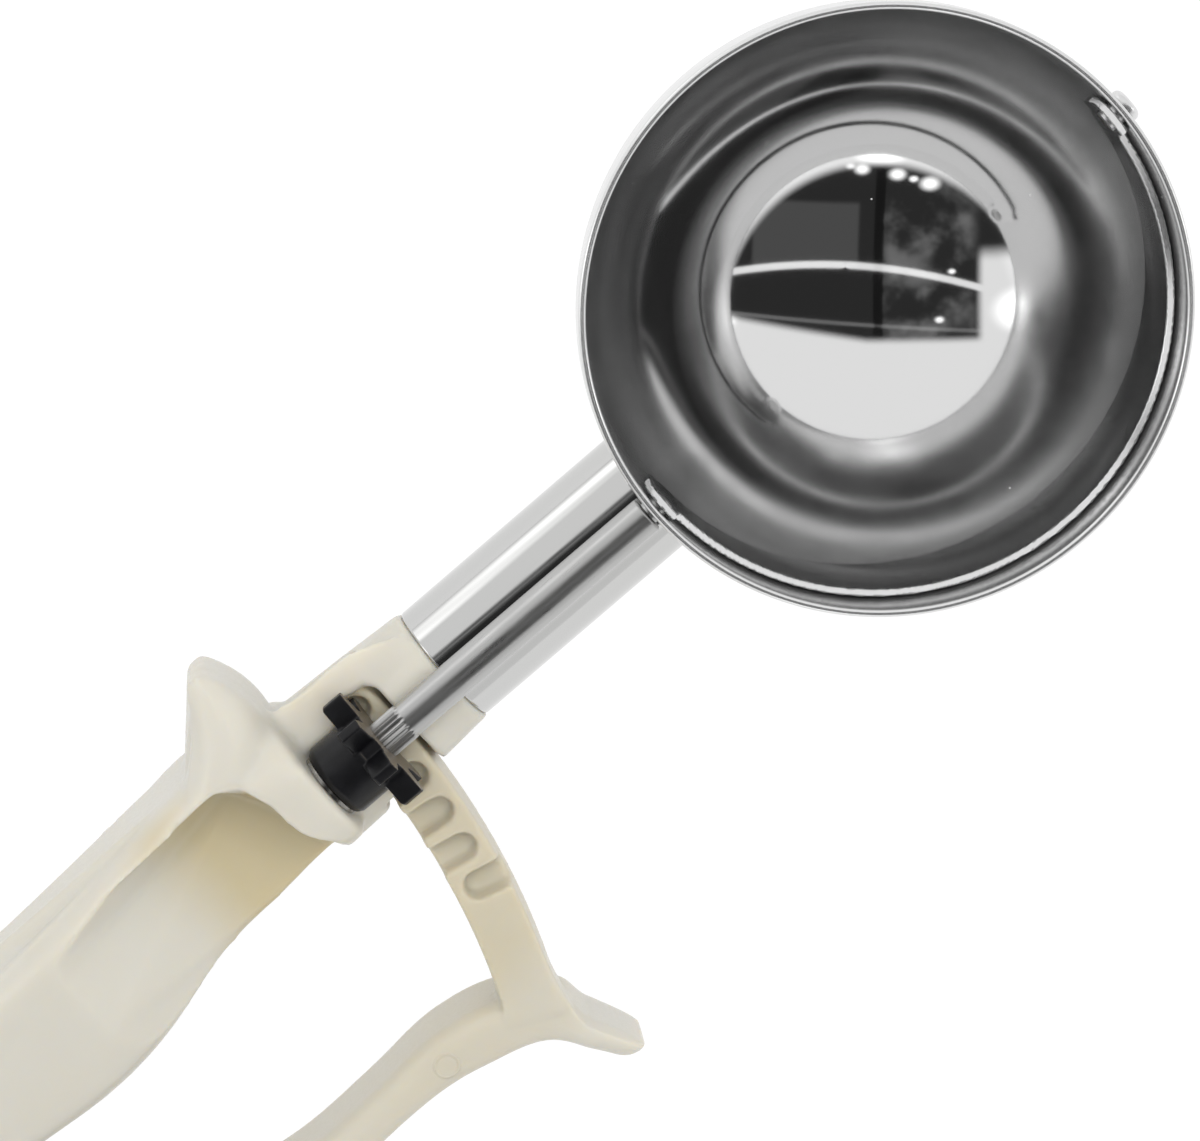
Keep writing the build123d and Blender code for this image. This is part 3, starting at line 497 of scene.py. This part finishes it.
def snap_to_ball(mesh):
    """Carry a softened strip's two skins back onto their true spheres."""
    near_skin = 0.75
    for vertex in mesh.vertices:
        point = work_point(vertex.co)
        depth = skin_depth(point)
        if abs(depth) > near_skin:
            radius = BLADE_OUTSIDE if depth > 0 else BLADE_OUTSIDE - BLADE_THICKNESS
            vertex.co = place(*(point * (radius / point.length)))
    mesh.update()


def even_shine(mesh):
    """Give the blade's two faces the ball's own normals, and its ground edge a steady bevel inwards."""
    near_skin = 0.9
    edge_z = -BLADE_EDGE_DROP - 0.3
    normals = []
    for vertex in mesh.vertices:
        point = work_point(vertex.co)
        depth = skin_depth(point)
        if abs(depth) > near_skin:
            normal = TURN @ (point.normalized() * math.copysign(1, depth))
        elif point.z > edge_z:
            normal = TURN @ (Vector((0, 0, 0.84)) - 0.54 * point.normalized())
        else:
            normal = vertex.normal.copy()
        normals.append(normal.normalized())
    mesh.normals_split_custom_set_from_vertices(normals)


def make_blade(settings):
    """The strip that sweeps the bowl, and the stud that it turns on at the far side."""
    # ground satin: soft reflections on the blade's faces
    satin = steel("satin_blade_steel", settings.steel, smooth=0.15, rough=0.22, grain=0.3, relief=0.0005)
    mesh = soft_copy("sweep_blade", "blade_strip", 0.2, 1)
    snap_to_ball(mesh)
    even_shine(mesh)
    link_piece("blade_strip", mesh, "sweep_blade", "shaft", satin)
    # turned and left dull: the stud reads as a grey dot
    dull = steel("turned_stud_steel", settings.steel, smooth=0.3, rough=0.4, grain=0.2, relief=0.0006)
    dress("blade_stud", dull)


# ---------------------------------------------------------------- neck and shaft
def wiped_down(point):
    """Bring a point of the braze nearer to the corner of tube and bowl, where wiping leaves the metal."""
    away = point.length
    point = point * ((BOWL_RADIUS + WIPED_SHARE * max(away - BOWL_RADIUS, 0)) / away)
    aside = math.hypot(point.y, point.z + NECK_DROP)
    nearer = (TUBE_RADIUS + WIPED_SHARE * max(aside - TUBE_RADIUS, 0)) / aside
    return Vector((point.x, point.y * nearer, (point.z + NECK_DROP) * nearer - NECK_DROP))


def make_tube(settings):
    """The neck's tube: a rounded lip by the collar, and the other end cut to the bowl's round side."""
    steps = 192
    # radius, and how far ahead of the collar's front
    lip = [
        (TUBE_RADIUS - TUBE_WALL, 0.25), (TUBE_RADIUS - 0.3, 0.0),
        (TUBE_RADIUS - 0.08, 0.06), (TUBE_RADIUS, 0.3),
    ]
    straight = [(TUBE_RADIUS, ahead) for ahead in (0.33, 0.4, 0.6, 3, 9, 15, 21)]
    profile = [(radius, COLLAR_FRONT_X + ahead) for radius, ahead in lip + straight]
    rows = turned_rows(profile, steps, about_neck)
    end_row = []
    for angle in angles_round(steps):
        y = TUBE_RADIUS * math.cos(angle)
        z = TUBE_RADIUS * math.sin(angle) - NECK_DROP
        end_row.append(place(-math.sqrt((BOWL_RADIUS - TUBE_SUNK) ** 2 - y * y - z * z), y, z))
    rows.append(end_row)
    # drawn and polished: bright streaks that run along the tube
    drawn = steel(
        "drawn_tube_steel", settings.tube_steel, smooth=0.05, rough=0.12, grain=0.3, relief=0.0006,
        stretch=(30, 1, 1),
    )
    link_piece("neck_sleeve", skin("neck_sleeve", rows), "neck_tube", "handle", drawn)


def make_neck(settings):
    """The tube, the braze that holds it to the bowl and the pin that locks it in the handle."""
    make_tube(settings)
    braze = frame["nodes"]["neck_braze"].data.copy()
    for vertex in braze.vertices:
        vertex.co = place(*wiped_down(work_point(vertex.co)))
    # wiped while soft: a dull, slightly uneven seam
    wiped = steel("wiped_braze", settings.steel, smooth=0.2, rough=0.35, grain=0.6, relief=0.02)
    link_piece("wiped_braze", braze, "neck_braze", "handle", wiped)
    # ground smooth: a small bright dot
    ground = steel("ground_lock_pin", settings.steel, smooth=0.15, rough=0.25, grain=0.2, relief=0.002)
    dress("neck_lock_pin", ground)


def rod_stations():
    """Along the drive shaft: its radius, x and how deep its splines are cut there."""
    splined = SHAFT_RADIUS + SPLINE_RISE
    spline_ends = (SPLINE_REAR_X, SPLINE_REAR_X + 0.2, SPLINE_FRONT_X - 0.2, SPLINE_FRONT_X)
    plain = (-69.6, -69.45, -69.2, -65, -58, -51, -44, -37, -34.9, -34.7, -34.6)
    tenon = (SHOULDER_X + 0.1, SHOULDER_X + 0.4, TENON_TIP_X - ROD_CHAMFER)
    return [
        (JOURNAL_RADIUS - ROD_CHAMFER, ROD_REAR_X, 0),
        (JOURNAL_RADIUS, ROD_REAR_X + ROD_CHAMFER, 0),
        (JOURNAL_RADIUS, SPLINE_REAR_X - 0.05, 0),
        *[(splined, x, SPLINE_DEPTH) for x in spline_ends],
        *[(SHAFT_RADIUS, x, 0) for x in plain],
        (SHAFT_RADIUS - ROD_CHAMFER, SHOULDER_X, 0),
        *[(TENON_RADIUS, x, 0) for x in tenon],
        (TENON_RADIUS - ROD_CHAMFER, TENON_TIP_X, 0),
        (0.01, TENON_TIP_X + 0.05, 0),
    ]


def make_rod(settings):
    """The drive shaft: plain rod with a splined rear part, as rows of rings."""
    rows = []
    for radius, x, depth in rod_stations():
        row = []
        for angle in angles_round(SPLINE_COUNT * POINTS_PER_SPLINE):
            wave = abs(math.sin(angle * SPLINE_COUNT / 2))
            reach = radius - depth * (1 - wave) ** 0.7
            row.append(place(x, reach * math.cos(angle), reach * math.sin(angle)))
        rows.append(row)
    mesh = skin("shaft_rod", rows)
    mesh.set_sharp_from_angle(angle=math.radians(50))
    # drawn, not polished: a satin rod with faint lines along it
    drawn = steel(
        "drawn_rod_steel", settings.rod_steel, smooth=0.26, rough=0.36, grain=0.3, relief=0.0008,
        stretch=(60, 1, 1),
    )
    link_piece("shaft_rod", mesh, "drive_shaft", "shaft", drawn)


def make_gear(settings):
    """The gear on the splines, and the washer and bush beside it."""
    mesh = soft_copy("pinion_gear", "rack_pinion", 0.13, 3)
    link_piece("rack_pinion", mesh, "pinion_gear", "shaft", blackened_gear(settings))
    # stamped and tumbled: a darker, softly shining ring
    stamped = steel("dark_washer_steel", linear("#8C8A86"), smooth=0.15, rough=0.3, grain=0.3, relief=0.004)
    dress("thrust_washer", stamped)
    # turned: fine rings that blur the reflections
    turned = steel("turned_bush_steel", settings.steel, smooth=0.2, rough=0.35, grain=0.2, relief=0.004)
    dress("shaft_bush", turned)


# ---------------------------------------------------------------- mouldings
# the shades and trims below ease in between two places of the working frame, in millimetres
def ease(value, low, high):
    """0 up to low, 1 from high on, and smooth between them."""
    share = min(max((value - low) / (high - low), 0.0), 1.0)
    return share * share * (3 - 2 * share)


def bell(value, middle, half):
    """1 at middle, easing to 0 at half away from it."""
    return 1 - ease(abs(value - middle), 0.0, half)


def paint_shade(mesh, shade_of):
    """Store how far each point's plastic leans from ivory to beige, which is partly painted shade."""
    layer = mesh.attributes.new("shade", "FLOAT", "POINT")
    values = [shade_of(work_point(vertex.co), vertex.normal) for vertex in mesh.vertices]
    layer.data.foreach_set("value", values)


def handle_shade(point, normal):
    """Painted shade in the thumb pocket: its floor and front wall lean towards beige, a shade deeper than the
    skin around them.
    """
    # the pocket's painted shade eases in along the pocket, below its rim, on faces turned up and inside the
    # wing
    along_pocket = ease(point.x, -106.0, -95.0) * ease(-point.x, 85.5, 86.6)
    below_rim = ease(3.4 - 0.02 * point.y - point.z, 0.0, 1.6)
    facing_up = ease((TURN_BACK @ normal).normalized().z, -0.05, 0.3)
    inside_wing = ease(11.0 - point.y, 0.0, 2.5)
    return along_pocket * below_rim * facing_up * inside_wing


def lever_shade(point, normal):
    """The lever leans a little towards beige; painted shade leans the arm further, and the thin hook keeps
    the plain ivory.
    """
    # painted shade on the arm
    arm = ease(point.y, -36.0, -28.0) * ease(point.x, -90.0, -84.0)
    hook = ease(-point.y, 38.0, 44.0) * ease(point.x, -86.0, -80.0)
    return 0.22 + 0.3 * arm - 0.3 * hook


def reshape(mesh, moved):
    """Carry every point of a moulding to where moved puts it, and none below the ground."""
    for vertex in mesh.vertices:
        vertex.co = place(*moved(work_point(vertex.co)))
        vertex.co.z = max(vertex.co.z, 0)
    mesh.update()


def handle_swell(point):
    """The grip's heel on the lever's side a touch fuller than the core, and its far side a touch leaner."""
    fuller = 1.3 * bell(point.x, HEEL_X, 20.0) + 0.4 * bell(point.x, BESIDE_POCKET_X, 9.0)
    heel = fuller * ease(-point.y, 4.0, 9.0)
    lean = 1.3 * bell(point.x, GRIP_MIDDLE_X, 50.0) * ease(point.y, 5.0, 9.0)
    return Vector((point.x, point.y - heel - lean, point.z))


def lever_trim(point):
    """A slimmer hook and knuckle, and a grip whose inner side is drawn in behind the arm."""
    from_knuckle = point - KNUCKLE
    along = from_knuckle.dot(HOOK_ALONG)
    off = from_knuckle.dot(HOOK_ACROSS) + 0.4 * max(along, 0)
    upper = 1.25 * ease(along, 0.3, 3.5) * ease(off, -0.5, 2.0)
    under_knuckle = 0.95 * bell(along, -1.5, 8.0) * ease(-off, 0.3, 2.5)
    under_hook = 0.6 * ease(along, 2.0, 6.0) * ease(-off, 0.0, 2.0)
    point = point + HOOK_ACROSS * (under_knuckle + under_hook - upper)
    inner = ease(-point.x, 92.0, 102.0) * ease(point.y, -36.5, -33.0) * ease(-point.y, 20.0, 27.0)
    return Vector((point.x, point.y - 0.85 * inner, point.z))


def add_eave(mesh):
    """The collar's edge over the way out of the rack arm, which hides that opening from above."""
    rows = []
    for x, inner, reach, drop in EAVE_STATIONS:
        low = EAVE_LOW_Z - drop
        outline = [
            (inner, low), (reach, low), (reach, low + 0.3), (reach - 0.5, low + 0.7),
            (0.5 * (inner + reach), low + 1.25), (inner, low + 1.55),
        ]
        rows.append([place(x, y, z) for y, z in outline])
    eave = skin("eave", rows)
    edit = bmesh.new()
    edit.from_mesh(mesh)
    edit.from_mesh(eave)
    bmesh.ops.holes_fill(edit, edges=[edge for edge in edit.edges if edge.is_boundary], sides=0)
    bmesh.ops.recalc_face_normals(edit, faces=edit.faces)
    edit.to_mesh(mesh)
    edit.free()
    bpy.data.meshes.remove(eave)


def near_eave(point):
    """Whether a point of the handle belongs to the collar's edge, and not to the window's rim beside it."""
    lowest = -5.2 if point.x < WINDOW_FRONT_X else -8.5
    by_window = WINDOW_REAR_X < point.x < WINDOW_FRONT_X and point.y < 6.6
    return -84.0 < point.x < -64.3 and point.y > 4.6 and point.z > lowest and not by_window


def flow_eave(mesh):
    """Let the collar's edge run into the collar without a ridge."""
    edit = bmesh.new()
    edit.from_mesh(mesh)
    chosen = [vertex for vertex in edit.verts if near_eave(work_point(vertex.co))]
    every_way = {"use_axis_x": True, "use_axis_y": True, "use_axis_z": True}
    for _ in range(20):
        bmesh.ops.smooth_vert(edit, verts=chosen, factor=0.5, **every_way)
    edit.to_mesh(mesh)
    edit.free()


def make_mouldings(settings):
    """The ivory handle and lever."""
    ivory = ivory_plastic(settings)
    rounds = settings.edge_rounds
    mesh = soft_copy("handle_body", "handle_moulding", settings.moulding_voxel, rounds, add_eave)
    flow_eave(mesh)
    reshape(mesh, handle_swell)
    paint_shade(mesh, handle_shade)
    link_piece("handle_moulding", mesh, "handle_body", "handle", ivory)
    mesh = soft_copy("lever", "lever_moulding", 0.8 * settings.moulding_voxel, rounds)
    reshape(mesh, lever_trim)
    paint_shade(mesh, lever_shade)
    link_piece("lever_moulding", mesh, "lever", "lever", ivory)


def make_pivot(settings):
    """The lever's pin with its ring, and the spring between the lever and the handle."""
    # turned and polished: a bright pin
    pin = steel("turned_pin_steel", settings.steel, smooth=0.1, rough=0.22, grain=0.2, relief=0.003)
    dress("pivot_pin", pin)
    # stamped: a grey ring with a dull shine
    ring = steel("stamped_ring_steel", linear("#B4B2AE"), smooth=0.2, rough=0.35, grain=0.3, relief=0.005)
    dress("pin_retainer", ring)
    # drawn hard: a darker wire with thin highlights
    wire = steel("spring_wire", linear("#9A9896"), smooth=0.15, rough=0.3, grain=0.15, relief=0.004)
    mesh = frame["nodes"]["return_spring"].data.copy()
    spring = link_piece("torsion_spring", mesh, "return_spring", None, wire)
    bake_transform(spring)


# ---------------------------------------------------------------- camera, room and floor
SENSOR_WIDTH = 36.0
IMAGE_WIDTH = 1200

# the camera's axes in the working frame, the point below the image's middle along the first two of them, in
# millimetres, and the image's dots for each millimetre
VIEW_RIGHT = Vector((0.75733, -0.64823, 0.07908))
VIEW_DOWN = Vector((-0.64845, -0.73216, 0.20848))
VIEW_TOWARD = Vector((0.07724, 0.20916, 0.97483))
VIEW_CENTRE = Vector((-31.51, 28.00))
VIEW_SCALE = 9.158

# the softbox's size and how far from the bowl it hangs, in metres
SOFTBOX_SIZE = 0.9
SOFTBOX_DISTANCE = 0.8

# twice the ratio of the bowl's radius to its inside radius, rounded
MIRROR_REACH = 2.06

# the room's places, each where the bowl shows it, as shares of its radius right and down from its middle
CEILING_EDGE = 0.07
CEILING_BEND_U = -0.03
CEILING_SLOPE = -0.15
CEILING_REACH = 0.49
GLARE_REACH = 0.52
WALL_DIP_REACH = 0.62
WINDOW_U = 0.325
WINDOW_V = -0.25
STRIP_MIDDLE_U = -0.15
STRIP_V = -0.178
STRIP_BOW = 0.325
BEAM_SLOPE = 0.067
BEAM_V = 0.023
PANEL_U = -0.24
PANEL_V = -0.27
HAZE_U = 0.17
POST_U = 0.007

# lamps on the walls and in the dark ceiling: where the bowl shows them, their size and their power
WALL_LAMPS = [
    (0.51, -0.02, 0.11, 1.6), (-0.56, 0.0, 0.08, 3.0), (0.0, -0.55, 0.08, 1.5),
    (0.41, 0.43, 0.08, 1.2), (0.45, 0.33, 0.08, 1.2), (0.33, 0.50, 0.08, 0.8),
]
CEILING_LAMPS = [
    (-0.10, -0.50, 0.0156, 1.8), (-0.06, -0.49, 0.026, 1.8), (0.06, -0.475, 0.0286, 1.8),
    (0.115, -0.46, 0.0156, 1.8), (0.17, -0.445, 0.0338, 1.8), (0.25, -0.155, 0.013, 1.8),
    (0.21, 0.005, 0.0156, 1.8),
]


def make_camera(settings):
    """A long lens looking nearly straight into the bowl."""
    distance = settings.camera_distance
    data = bpy.data.cameras.new("camera")
    data.sensor_width = SENSOR_WIDTH
    data.sensor_fit = "HORIZONTAL"
    data.lens = VIEW_SCALE * distance * SENSOR_WIDTH / IMAGE_WIDTH
    camera = bpy.data.objects.new("camera", data)
    turn = Matrix((VIEW_RIGHT, VIEW_DOWN, VIEW_TOWARD)).transposed()
    eye = turn @ Vector((*VIEW_CENTRE, distance)) + Vector((0, 0, LIP_HEIGHT))
    axes = Matrix((VIEW_RIGHT, -VIEW_DOWN, VIEW_TOWARD)).transposed().to_4x4()
    camera.matrix_world = WORK @ Matrix.Translation(eye * MM) @ axes
    bpy.context.scene.collection.objects.link(camera)
    bpy.context.scene.camera = camera


def mirror_place(tree, direction):
    """Where the bowl shows a direction of the room: right, down, and how far from the middle that is."""
    toward = add_node(tree, "VectorMath", direction, TURN @ VIEW_TOWARD, operation="DOT_PRODUCT")
    share = add_node(tree, "Math", toward, 0.5, 0.5, operation="MULTIPLY_ADD")
    share = add_node(tree, "Math", share, 0.01, operation="MAXIMUM")
    half_cosine = add_node(tree, "Math", share, operation="SQRT")
    reach = add_node(tree, "Math", half_cosine, -MIRROR_REACH, operation="MULTIPLY")
    right = add_node(tree, "VectorMath", direction, TURN @ VIEW_RIGHT, operation="DOT_PRODUCT")
    down = add_node(tree, "VectorMath", direction, TURN @ VIEW_DOWN, operation="DOT_PRODUCT")
    u = add_node(tree, "Math", right, reach, operation="DIVIDE")
    v = add_node(tree, "Math", down, reach, operation="DIVIDE")
    spot = add_node(tree, "CombineXYZ", u, v)
    return u, v, add_node(tree, "VectorMath", spot, operation="LENGTH")


def add_lamps(tree, light, u, v, lamps):
    """Add round lamps with soft edges, a little wider than high, to a light."""
    for middle_u, middle_v, size, power in lamps:
        across = add_node(tree, "Math", u, middle_u, operation="SUBTRACT")
        down = add_node(tree, "Math", v, middle_v, operation="SUBTRACT")
        down = add_node(tree, "Math", down, 1.5, operation="MULTIPLY")
        spot = add_node(tree, "CombineXYZ", across, down)
        off = add_node(tree, "VectorMath", spot, operation="LENGTH")
        lamp = add_node(tree, "MapRange", off, 0.2 * size, 1.4 * size, power, 0.0, **EASED)
        light = add_node(tree, "Math", light, lamp, operation="ADD")
    return light


def ceiling_share(tree, u, v, away):
    """1 in the dark ceiling, 0 at the walls round it and in the bright window at its right."""
    leftwards = add_node(tree, "Math", CEILING_BEND_U, u, operation="SUBTRACT")
    leftwards = add_node(tree, "Math", leftwards, 0.0, operation="MAXIMUM")
    edge = add_node(tree, "Math", leftwards, CEILING_SLOPE, CEILING_EDGE, operation="MULTIPLY_ADD")
    below_edge = add_node(tree, "Math", v, edge, operation="SUBTRACT")
    above = add_node(tree, "MapRange", below_edge, -0.015, 0.02, 1.0, 0.0, **EASED)
    within = add_node(tree, "MapRange", away, CEILING_REACH, CEILING_REACH + 0.04, 1.0, 0.0, **EASED)
    ceiling = add_node(tree, "Math", above, within, operation="MULTIPLY")
    window_right = add_node(tree, "MapRange", u, WINDOW_U, WINDOW_U + 0.035, 0.0, 1.0, **EASED)
    window_down = add_node(tree, "MapRange", v, WINDOW_V, WINDOW_V + 0.07, 0.0, 1.0, **EASED)
    window = add_node(tree, "Math", window_right, window_down, operation="MULTIPLY")
    shut = add_node(tree, "Math", 1.0, window, operation="SUBTRACT")
    return add_node(tree, "Math", ceiling, shut, operation="MULTIPLY")


def wall_light(tree, u, v, away):
    """White walls, a little darker in one ring, brighter by the ceiling, and with their lamps."""
    dip = bar(tree, away, WALL_DIP_REACH, 0.02, 0.16)
    walls = add_node(tree, "Math", dip, -0.12, 1.0, operation="MULTIPLY_ADD")
    upper = add_node(tree, "MapRange", v, -0.1, 0.15, 1.0, 0.0, **EASED)
    glare = add_node(tree, "Math", bar(tree, away, GLARE_REACH, 0.03, 0.05), upper, operation="MULTIPLY")
    walls = add_node(tree, "Math", glare, 0.2, walls, operation="MULTIPLY_ADD")
    return add_lamps(tree, walls, u, v, WALL_LAMPS)


def ceiling_light(tree, direction, u, v):
    """The dark ceiling's own light: a bowed strip, a faint beam, a panel, haze, a dark post and lamps."""
    from_middle = add_node(tree, "Math", u, -STRIP_MIDDLE_U, operation="ADD")
    squared = add_node(tree, "Math", from_middle, from_middle, operation="MULTIPLY")
    strip_v = add_node(tree, "Math", squared, STRIP_BOW, STRIP_V, operation="MULTIPLY_ADD")
    strip = bar(tree, add_node(tree, "Math", v, strip_v, operation="SUBTRACT"), 0.0, 0.007, 0.009)
    beam_v = add_node(tree, "Math", u, BEAM_SLOPE, BEAM_V, operation="MULTIPLY_ADD")
    beam = bar(tree, add_node(tree, "Math", v, beam_v, operation="SUBTRACT"), 0.0, 0.002, 0.008)
    light = add_node(tree, "Math", beam, 0.16, strip, operation="MULTIPLY_ADD")
    panel_right = bar(tree, u, PANEL_U, 0.17, 0.015)
    panel_down = bar(tree, v, PANEL_V, 0.10, 0.02)
    panel = add_node(tree, "Math", panel_right, panel_down, operation="MULTIPLY")
    panel = add_node(tree, "Math", panel, 0.06, 0.03, operation="MULTIPLY_ADD")
    light = add_node(tree, "Math", light, panel, operation="ADD")
    haze = add_node(tree, "TexNoise", direction, 1 / 0.25, 3.0)
    haze = add_node(tree, "MapRange", haze, 0.4, 0.7, 0.0, 0.16, **EASED)
    light = add_node(tree, "Math", haze, bar(tree, u, HAZE_U, 0.12, 0.06), light, operation="MULTIPLY_ADD")
    post = bar(tree, u, POST_U, 0.007, 0.012)
    light = add_node(tree, "Math", post, -0.1, light, operation="MULTIPLY_ADD")
    light = add_node(tree, "Math", light, 0.012, operation="MAXIMUM")
    return add_lamps(tree, light, u, v, CEILING_LAMPS)


def make_room(settings):
    """A bright studio: white walls all round, and overhead a dark half with strips of light.

    It is laid out on (u, v), right and down from the bowl's middle, where the bowl shows each part of it.
    """
    world = bpy.data.worlds.new("soft_studio")
    world.use_nodes = True
    tree = world.node_tree
    tree.nodes.clear()
    direction = add_node(tree, "TexCoord", output="Generated")
    u, v, away = mirror_place(tree, direction)
    ceiling = ceiling_share(tree, u, v, away)
    walls = wall_light(tree, u, v, away)
    overhead = ceiling_light(tree, direction, u, v)
    darker = add_node(tree, "Math", overhead, walls, operation="SUBTRACT")
    light = add_node(tree, "Math", ceiling, darker, walls, operation="MULTIPLY_ADD")
    light = add_node(tree, "Math", light, 0.0, operation="MAXIMUM")
    strength = add_node(tree, "Math", light, settings.room_light, operation="MULTIPLY")
    back = add_node(tree, "Background", (*linear("#FFFFFF"), 1), strength)
    add_node(tree, "OutputWorld", back)
    bpy.context.scene.world = world
    bpy.context.scene.view_settings.view_transform = "Standard"


def make_fill(settings):
    """A wide soft light overhead that the steel doesn't show, so that the bowl shows the room alone."""
    data = bpy.data.lights.new("softbox", "AREA")
    data.shape = "DISK"
    data.size = SOFTBOX_SIZE
    data.energy = settings.fill_light
    light = bpy.data.objects.new("softbox", data)
    bpy.context.scene.collection.objects.link(light)
    light.matrix_world = WORK @ Matrix.Translation(VIEW_TOWARD * SOFTBOX_DISTANCE)
    light.visible_glossy = False


def make_floor(settings):
    """The paper that the tool lies on."""
    half = settings.floor_size / 2
    rows = [[(-half, side, 0), (half, side, 0)] for side in (-half, half)]
    mesh = skin("floor", rows, close_rows=False)
    floor = bpy.data.objects.new("floor", mesh)
    bpy.context.scene.collection.objects.link(floor)
    mesh.materials.append(white_floor())


# ---------------------------------------------------------------- settings, operators and panel
class ScoopSettings(bpy.types.PropertyGroup):
    """Sizes and colours that a user may change."""

    ivory: FloatVectorProperty(
        name="Ivory", description="Colour of the moulded plastic", subtype="COLOR", size=3,
        default=linear("#C2BFB5"), min=0, max=1,
    )
    # the beige that the painted shade leans the plastic towards, in the thumb pocket and on the lever
    beige: FloatVectorProperty(
        name="Pocket beige", description="Colour of the plastic in the thumb pocket", subtype="COLOR",
        size=3, default=linear("#B9AE90"), min=0, max=1,
    )
    steel: FloatVectorProperty(
        name="Steel", description="Tint of the polished steel", subtype="COLOR", size=3,
        default=linear("#DCDCDC"), min=0, max=1,
    )
    tube_steel: FloatVectorProperty(
        name="Tube steel", description="Tint of the drawn tube", subtype="COLOR", size=3,
        default=linear("#C6C6C5"), min=0, max=1,
    )
    rod_steel: FloatVectorProperty(
        name="Rod steel", description="Tint of the drawn rod", subtype="COLOR", size=3,
        default=linear("#B4B4B3"), min=0, max=1,
    )
    gear_black: FloatVectorProperty(
        name="Gear black", description="Colour of the gear", subtype="COLOR", size=3,
        default=linear("#08080A"), min=0, max=1,
    )
    bowl_polish: FloatProperty(
        name="Bowl polish", description="Roughness of the bowl's best polished spots", default=0.05,
        min=0.01, max=0.4,
    )
    bowl_steps: IntProperty(
        name="Bowl steps", description="Points round the bowl", default=256, min=48, max=720,
    )
    moulding_voxel: FloatProperty(
        name="Moulding skin", description="Size of the plastic skin's quads, in millimetres", default=0.45,
        min=0.25, max=1.0,
    )
    edge_rounds: IntProperty(
        name="Edge rounds", description="How often the plastic's edges are relaxed", default=7,
        min=0, max=20,
    )
    camera_distance: FloatProperty(
        name="Camera distance", description="From the bowl to the lens, in millimetres", default=490.0,
        min=200.0, max=2000.0,
    )
    room_light: FloatProperty(
        name="Room light", description="Brightness of the white walls", default=1.0, min=0.1, max=4.0,
    )
    fill_light: FloatProperty(
        name="Fill light", description="Power of the softbox overhead", default=6.4,
        min=0.0, max=50.0, unit="POWER",
    )
    floor_size: FloatProperty(
        name="Floor", description="Side of the floor", default=6.0, min=1.0, max=20.0, unit="LENGTH",
    )


class SCOOP_OT_bowl(bpy.types.Operator):
    """Spin the bowl with its rounded lip"""

    bl_idname = "scoop.bowl"
    bl_label = "Bowl"

    def execute(self, context):
        make_bowl(context.scene.scoop)
        return {"FINISHED"}


class SCOOP_OT_blade(bpy.types.Operator):
    """Make the blade that sweeps the bowl, and its stud"""

    bl_idname = "scoop.blade"
    bl_label = "Blade"

    def execute(self, context):
        make_blade(context.scene.scoop)
        return {"FINISHED"}


class SCOOP_OT_neck(bpy.types.Operator):
    """Make the tube between handle and bowl"""

    bl_idname = "scoop.neck"
    bl_label = "Neck"

    def execute(self, context):
        make_neck(context.scene.scoop)
        return {"FINISHED"}


class SCOOP_OT_drive(bpy.types.Operator):
    """Make the drive shaft, its gear and their small parts"""

    bl_idname = "scoop.drive"
    bl_label = "Drive"

    def execute(self, context):
        make_rod(context.scene.scoop)
        make_gear(context.scene.scoop)
        return {"FINISHED"}


class SCOOP_OT_mouldings(bpy.types.Operator):
    """Make the ivory handle and lever"""

    bl_idname = "scoop.mouldings"
    bl_label = "Mouldings"

    def execute(self, context):
        make_mouldings(context.scene.scoop)
        return {"FINISHED"}


class SCOOP_OT_pivot(bpy.types.Operator):
    """Finish the lever's pin, its ring and the spring"""

    bl_idname = "scoop.pivot"
    bl_label = "Pivot"

    def execute(self, context):
        make_pivot(context.scene.scoop)
        return {"FINISHED"}


class SCOOP_OT_stage(bpy.types.Operator):
    """Set up the camera, the bright room and the floor"""

    bl_idname = "scoop.stage"
    bl_label = "Stage"

    def execute(self, context):
        make_camera(context.scene.scoop)
        make_room(context.scene.scoop)
        make_fill(context.scene.scoop)
        make_floor(context.scene.scoop)
        return {"FINISHED"}


class SCOOP_PT_panel(bpy.types.Panel):
    """The scoop's settings and its pieces"""

    bl_label = "Scoop"
    bl_space_type = "VIEW_3D"
    bl_region_type = "UI"
    bl_category = "Scoop"

    def draw(self, context):
        for name in ScoopSettings.__annotations__:
            self.layout.prop(context.scene.scoop, name)
        for operator in OPERATORS:
            self.layout.operator(operator.bl_idname)


OPERATORS = (
    SCOOP_OT_stage, SCOOP_OT_bowl, SCOOP_OT_blade, SCOOP_OT_neck, SCOOP_OT_drive, SCOOP_OT_mouldings,
    SCOOP_OT_pivot,
)
CLASSES = (ScoopSettings, *OPERATORS, SCOOP_PT_panel)


def register():
    """Add the settings, the operators and the panel."""
    for item in CLASSES:
        bpy.utils.register_class(item)
    bpy.types.Scene.scoop = PointerProperty(type=ScoopSettings)


def unregister():
    """Take them away again."""
    del bpy.types.Scene.scoop
    for item in reversed(CLASSES):
        bpy.utils.unregister_class(item)


def main():
    """Build the whole scene."""
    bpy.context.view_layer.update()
    register()
    bpy.ops.scoop.stage()
    bpy.ops.scoop.bowl()
    bpy.ops.scoop.blade()
    bpy.ops.scoop.neck()
    bpy.ops.scoop.drive()
    bpy.ops.scoop.mouldings()
    bpy.ops.scoop.pivot()


if __name__ == "__main__":
    main()
